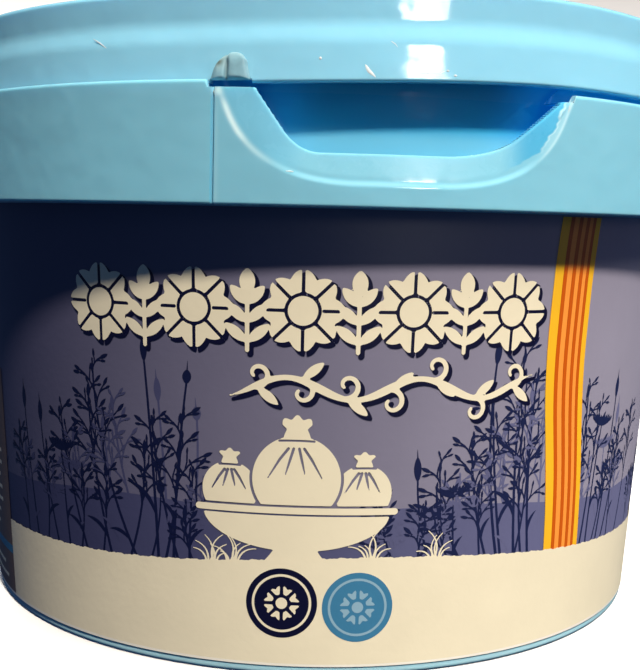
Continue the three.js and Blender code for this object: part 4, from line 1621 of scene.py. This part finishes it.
def stub_surface(lid):
    """The torn stub on the band as a grid of points, with the shares of its paler and its brown
    tint.

    The grid runs across from -1 to 1 and up from 0 to 1. The stub narrows upwards, and its top
    falls by the cube towards the sides. It rises like a quarter circle from its edge, is parted by
    a bell-shaped groove, and is lower left of it. The paler tint is whitening on the left lobe and
    a painted highlight along the top. The brown is a smudge, a bell-shaped spot at the upper left,
    and painted shade, a trace in the groove.
    """
    across, up = np.meshgrid(np.linspace(-1, 1, 49), np.linspace(0, 1, 37))
    half = mix(STUB_WIDE, STUB_NARROW, up ** 1.2) * (1 - 0.16 * smooth(up, 0.70, 1.0) ** 2)
    x = across * half + 0.15 * smooth(up, 0.5, 1.0)
    top = STUB_TOP - 0.55 * np.abs(across) ** 3 - 0.25 * smooth(-across, 0.05, 0.45)
    z = mix(STUB_FOOT, top, up)
    edge = np.minimum(1 - np.abs(across), np.minimum(up * 3, 1 - up) * 1.1)
    groove = np.exp(-((x + GROOVE) / 0.22) ** 2) * (1 - smooth(up, 0.55, 0.95))
    left = 1 - smooth(x, -0.7, -0.1)
    lobes = 1 - 0.22 * left * smooth(up, 0.2, 0.8) + 0.06 * np.sin(3.1 * x + 2.0 * up)
    dome = np.sqrt(np.clip(1 - (1 - np.clip(edge / 0.55, 0, 1)) ** 2, 0, 1))
    rise = STUB_RISE * dome * lobes * (1 - 0.60 * groove)
    rise = rise - 0.10 * smooth(-edge, -0.02, 0)
    # Whitening on the left lobe, and a painted highlight along the top.
    stress = left * smooth(up, 0.25, 0.6) * 0.6 + 0.35 * smooth(up, 0.6, 1.0)
    soil = 0.85 * np.exp(-((x + 1.25) / 0.42) ** 2 - ((up - 0.72) / 0.14) ** 2)
    # Painted shade in the groove.
    soil += 0.30 * np.exp(-((x + GROOVE) / 0.16) ** 2) * (1 - smooth(up, 0.4, 0.8))
    angle = STUB_ANGLE + np.degrees(x / lid.band_radius)
    points = bent_up(ring(band_at(lid, z) + rise, angle, z), lid)
    return points, {"stress": np.clip(stress, 0, 1), "soil": np.clip(soil, 0, 1)}


class DAIRYTUB_OT_bridge_stub(bpy.types.Operator):
    """Make the torn stub of the tamper bridge on the lid's band"""

    bl_idname = "dairytub.bridge_stub"
    bl_label = "Bridge stub"

    def execute(self, context):
        plastic = material_once("stretched_polypropylene", stretched_plastic, linear("#83AEBB"))
        points, looks = stub_surface(in_mm(context.scene.lid_sizes))
        make_piece("bridge_stub", points, quads(*points.shape[:2]), plastic,
                   sharp=60, values=looks)
        return {"FINISHED"}


# ---------------------------------------------------------------- stage

CAMERA_AT = (0.0, -178.32, 55.97)
# Radians of the camera at its stand, and degrees by which the stand is turned round the tub.
CAMERA_PITCH = 0.10470
CAMERA_YAW = 0.00339
CAMERA_ROLL = 0.02440
CAMERA_TURN = -9.3
CAMERA_LENS = 59.82
SENSOR_WIDTH = 36

# Metres: the middle of the tub, which every light points at.
MIDDLE = (0, 0, 0.04)
KEY_TINT = (1.0, 0.90, 0.79)
# The lamp that the gloss reflects: turn and height, width and height in metres, and tint.
GLINT_TURN, GLINT_HEIGHT = 18.6, 19.6
GLINT_WIDE, GLINT_TALL = 0.18, 0.27
GLINT_TINT = (1, 0.98, 0.96)
WORLD_COLOUR, WORLD_STRENGTH = (0.22, 0.41, 0.92, 1), 0.10
# The floor lies this far under the tub, curves up from here on, and ends at this height.
FLOOR_DROP = 0.02
CURVE_START, CURVE_RADIUS, SWEEP_TOP = 1100, 500, 2600


def camera_matrix():
    """Placement of the camera: pitch, yaw and roll at its stand, then a turn round the tub."""
    pitch, yaw, roll = CAMERA_PITCH, CAMERA_YAW, CAMERA_ROLL
    forward = Vector((math.sin(yaw) * math.cos(pitch), math.cos(yaw) * math.cos(pitch),
                      -math.sin(pitch)))
    level = Vector((math.cos(yaw), -math.sin(yaw), 0))
    upright = level.cross(forward)
    right = math.cos(roll) * level + math.sin(roll) * upright
    up = -math.sin(roll) * level + math.cos(roll) * upright
    placed = Matrix((right, up, -forward)).transposed().to_4x4()
    placed.translation = Vector(CAMERA_AT) * MM
    return Matrix.Rotation(math.radians(CAMERA_TURN), 4, "Z") @ placed


def add_light(name, kind, turned, height, tint, settings):
    """A light a metre from the tub's middle, at an angle from -Y towards +X and a height."""
    lamp = bpy.data.lights.new(name, kind)
    lamp.color = tint
    for key, value in settings.items():
        setattr(lamp, key, value)
    light = bpy.data.objects.new(name, lamp)
    a, e = math.radians(turned), math.radians(height)
    away = Vector((math.sin(a) * math.cos(e), -math.cos(a) * math.cos(e), math.sin(e)))
    light.location = Vector(MIDDLE) + away
    light.rotation_euler = (-away).to_track_quat("-Z", "Y").to_euler()
    bpy.context.scene.collection.objects.link(light)
    return light


def floor_sweep(paint):
    """A floor that rises into a backdrop all round: flat, a quarter circle, then upright."""
    t = np.linspace(0, 1, 25) * np.pi / 2
    reach = np.concatenate([[0.1, 300, 700], CURVE_START + CURVE_RADIUS * np.sin(t),
                            [CURVE_START + CURVE_RADIUS]])
    climb = np.concatenate([[0, 0, 0], CURVE_RADIUS - CURVE_RADIUS * np.cos(t), [SWEEP_TOP]])
    points = ring(reach[:, None], np.arange(0, 360, 3.0)[None], climb[:, None] - FLOOR_DROP)
    mesh = bpy.data.meshes.new("sweep")
    mesh.from_pydata((points.reshape(-1, 3) * MM).tolist(), [],
                     quads(*points.shape[:2], closed=True).tolist())
    mesh.shade_smooth()
    mesh.materials.append(paint)
    sweep = bpy.data.objects.new("sweep", mesh)
    bpy.context.scene.collection.objects.link(sweep)
    return sweep


class DAIRYTUB_OT_stage(bpy.types.Operator):
    """Make the camera, the studio lights, and the pale floor and backdrop"""

    bl_idname = "dairytub.stage"
    bl_label = "Stage"

    def execute(self, context):
        scene = context.scene
        look = in_mm(scene.tub_stage)
        camera = bpy.data.cameras.new("camera")
        camera.lens = CAMERA_LENS
        camera.sensor_width = SENSOR_WIDTH
        camera.sensor_fit = "HORIZONTAL"
        camera.clip_start = 0.01
        camera.clip_end = 20
        eye = bpy.data.objects.new("camera", camera)
        eye.matrix_world = camera_matrix()
        scene.collection.objects.link(eye)
        scene.camera = eye

        # Name, turn, height, power, width in degrees and tint.
        suns = (
            ("key", look.key_turn, look.key_height, look.key_power, look.key_size, KEY_TINT),
            ("fill", 62, 60, look.fill_power, 24, (1, 0.99, 0.98)),
            ("low_right", 72, 10, 0.14, 20, (1, 0.8, 0.75)),
            ("back_left", 201, 38, look.rim_power, 30, (1, 1, 1)),
            ("back_right", 141, 38, look.rim_power, 30, (1, 1, 1)),
        )
        for name, turned, height, energy, width, tint in suns:
            sun = add_light(name, "SUN", turned, height, tint,
                            {"energy": energy, "angle": math.radians(width)})
            sun.visible_glossy = False
        # The glint's power is its radiance x width x height x pi.
        energy = look.glint_power * GLINT_WIDE * GLINT_TALL * math.pi
        glint = add_light("glint", "AREA", GLINT_TURN, GLINT_HEIGHT, GLINT_TINT,
                          {"shape": "ELLIPSE", "size": GLINT_WIDE, "size_y": GLINT_TALL,
                           "energy": energy})
        glint.visible_diffuse = False

        world = bpy.data.worlds.new("studio")
        world.use_nodes = True
        backdrop = world.node_tree.nodes["Background"]
        backdrop.inputs["Color"].default_value = WORLD_COLOUR
        backdrop.inputs["Strength"].default_value = WORLD_STRENGTH
        scene.world = world
        scene.view_settings.view_transform = "Standard"

        sweep = floor_sweep(painted_sweep("matt_studio_paint", tuple(look.floor)))
        sweep.visible_diffuse = False
        sweep.visible_glossy = False
        sweep.visible_shadow = False
        return {"FINISHED"}


# ---------------------------------------------------------------- panel

OPERATORS = (
    DAIRYTUB_OT_tub_moulding,
    DAIRYTUB_OT_lid_moulding,
    DAIRYTUB_OT_label_film,
    DAIRYTUB_OT_meadow_print,
    DAIRYTUB_OT_ribbon_print,
    DAIRYTUB_OT_ornament_print,
    DAIRYTUB_OT_small_print,
    DAIRYTUB_OT_bridge_stub,
    DAIRYTUB_OT_lid_marks,
    DAIRYTUB_OT_scoop_burrs,
    DAIRYTUB_OT_stage,
)
GROUPS = {"tub_sizes": TubSizes, "lid_sizes": LidSizes, "tub_finishes": Finishes,
          "tub_stage": StageLook}


class DAIRYTUB_PT_panel(bpy.types.Panel):
    """Lists the pieces of the tub and their settings"""

    bl_idname = "DAIRYTUB_PT_panel"
    bl_label = "Dairy tub"
    bl_space_type = "VIEW_3D"
    bl_region_type = "UI"
    bl_category = "Dairy tub"

    def draw(self, context):
        column = self.layout.column()
        for operator in OPERATORS:
            column.operator(operator.bl_idname)
        for key, group in GROUPS.items():
            box = self.layout.box()
            box.label(text=group.__doc__)
            for name in group.__annotations__:
                box.prop(getattr(context.scene, key), name)


def register():
    """Registers the property groups, the operators and the panel."""
    for group in GROUPS.values():
        bpy.utils.register_class(group)
    for operator in OPERATORS:
        bpy.utils.register_class(operator)
    bpy.utils.register_class(DAIRYTUB_PT_panel)
    for key, group in GROUPS.items():
        setattr(bpy.types.Scene, key, PointerProperty(type=group))


def unregister():
    """Takes out what register put in."""
    for key in GROUPS:
        delattr(bpy.types.Scene, key)
    bpy.utils.unregister_class(DAIRYTUB_PT_panel)
    for group in (*reversed(OPERATORS), *reversed(list(GROUPS.values()))):
        bpy.utils.unregister_class(group)


def main():
    """Registers the add-on and makes every piece."""
    register()
    for operator in OPERATORS:
        space, name = operator.bl_idname.split(".")
        getattr(getattr(bpy.ops, space), name)()


if __name__ == "__main__":
    main()
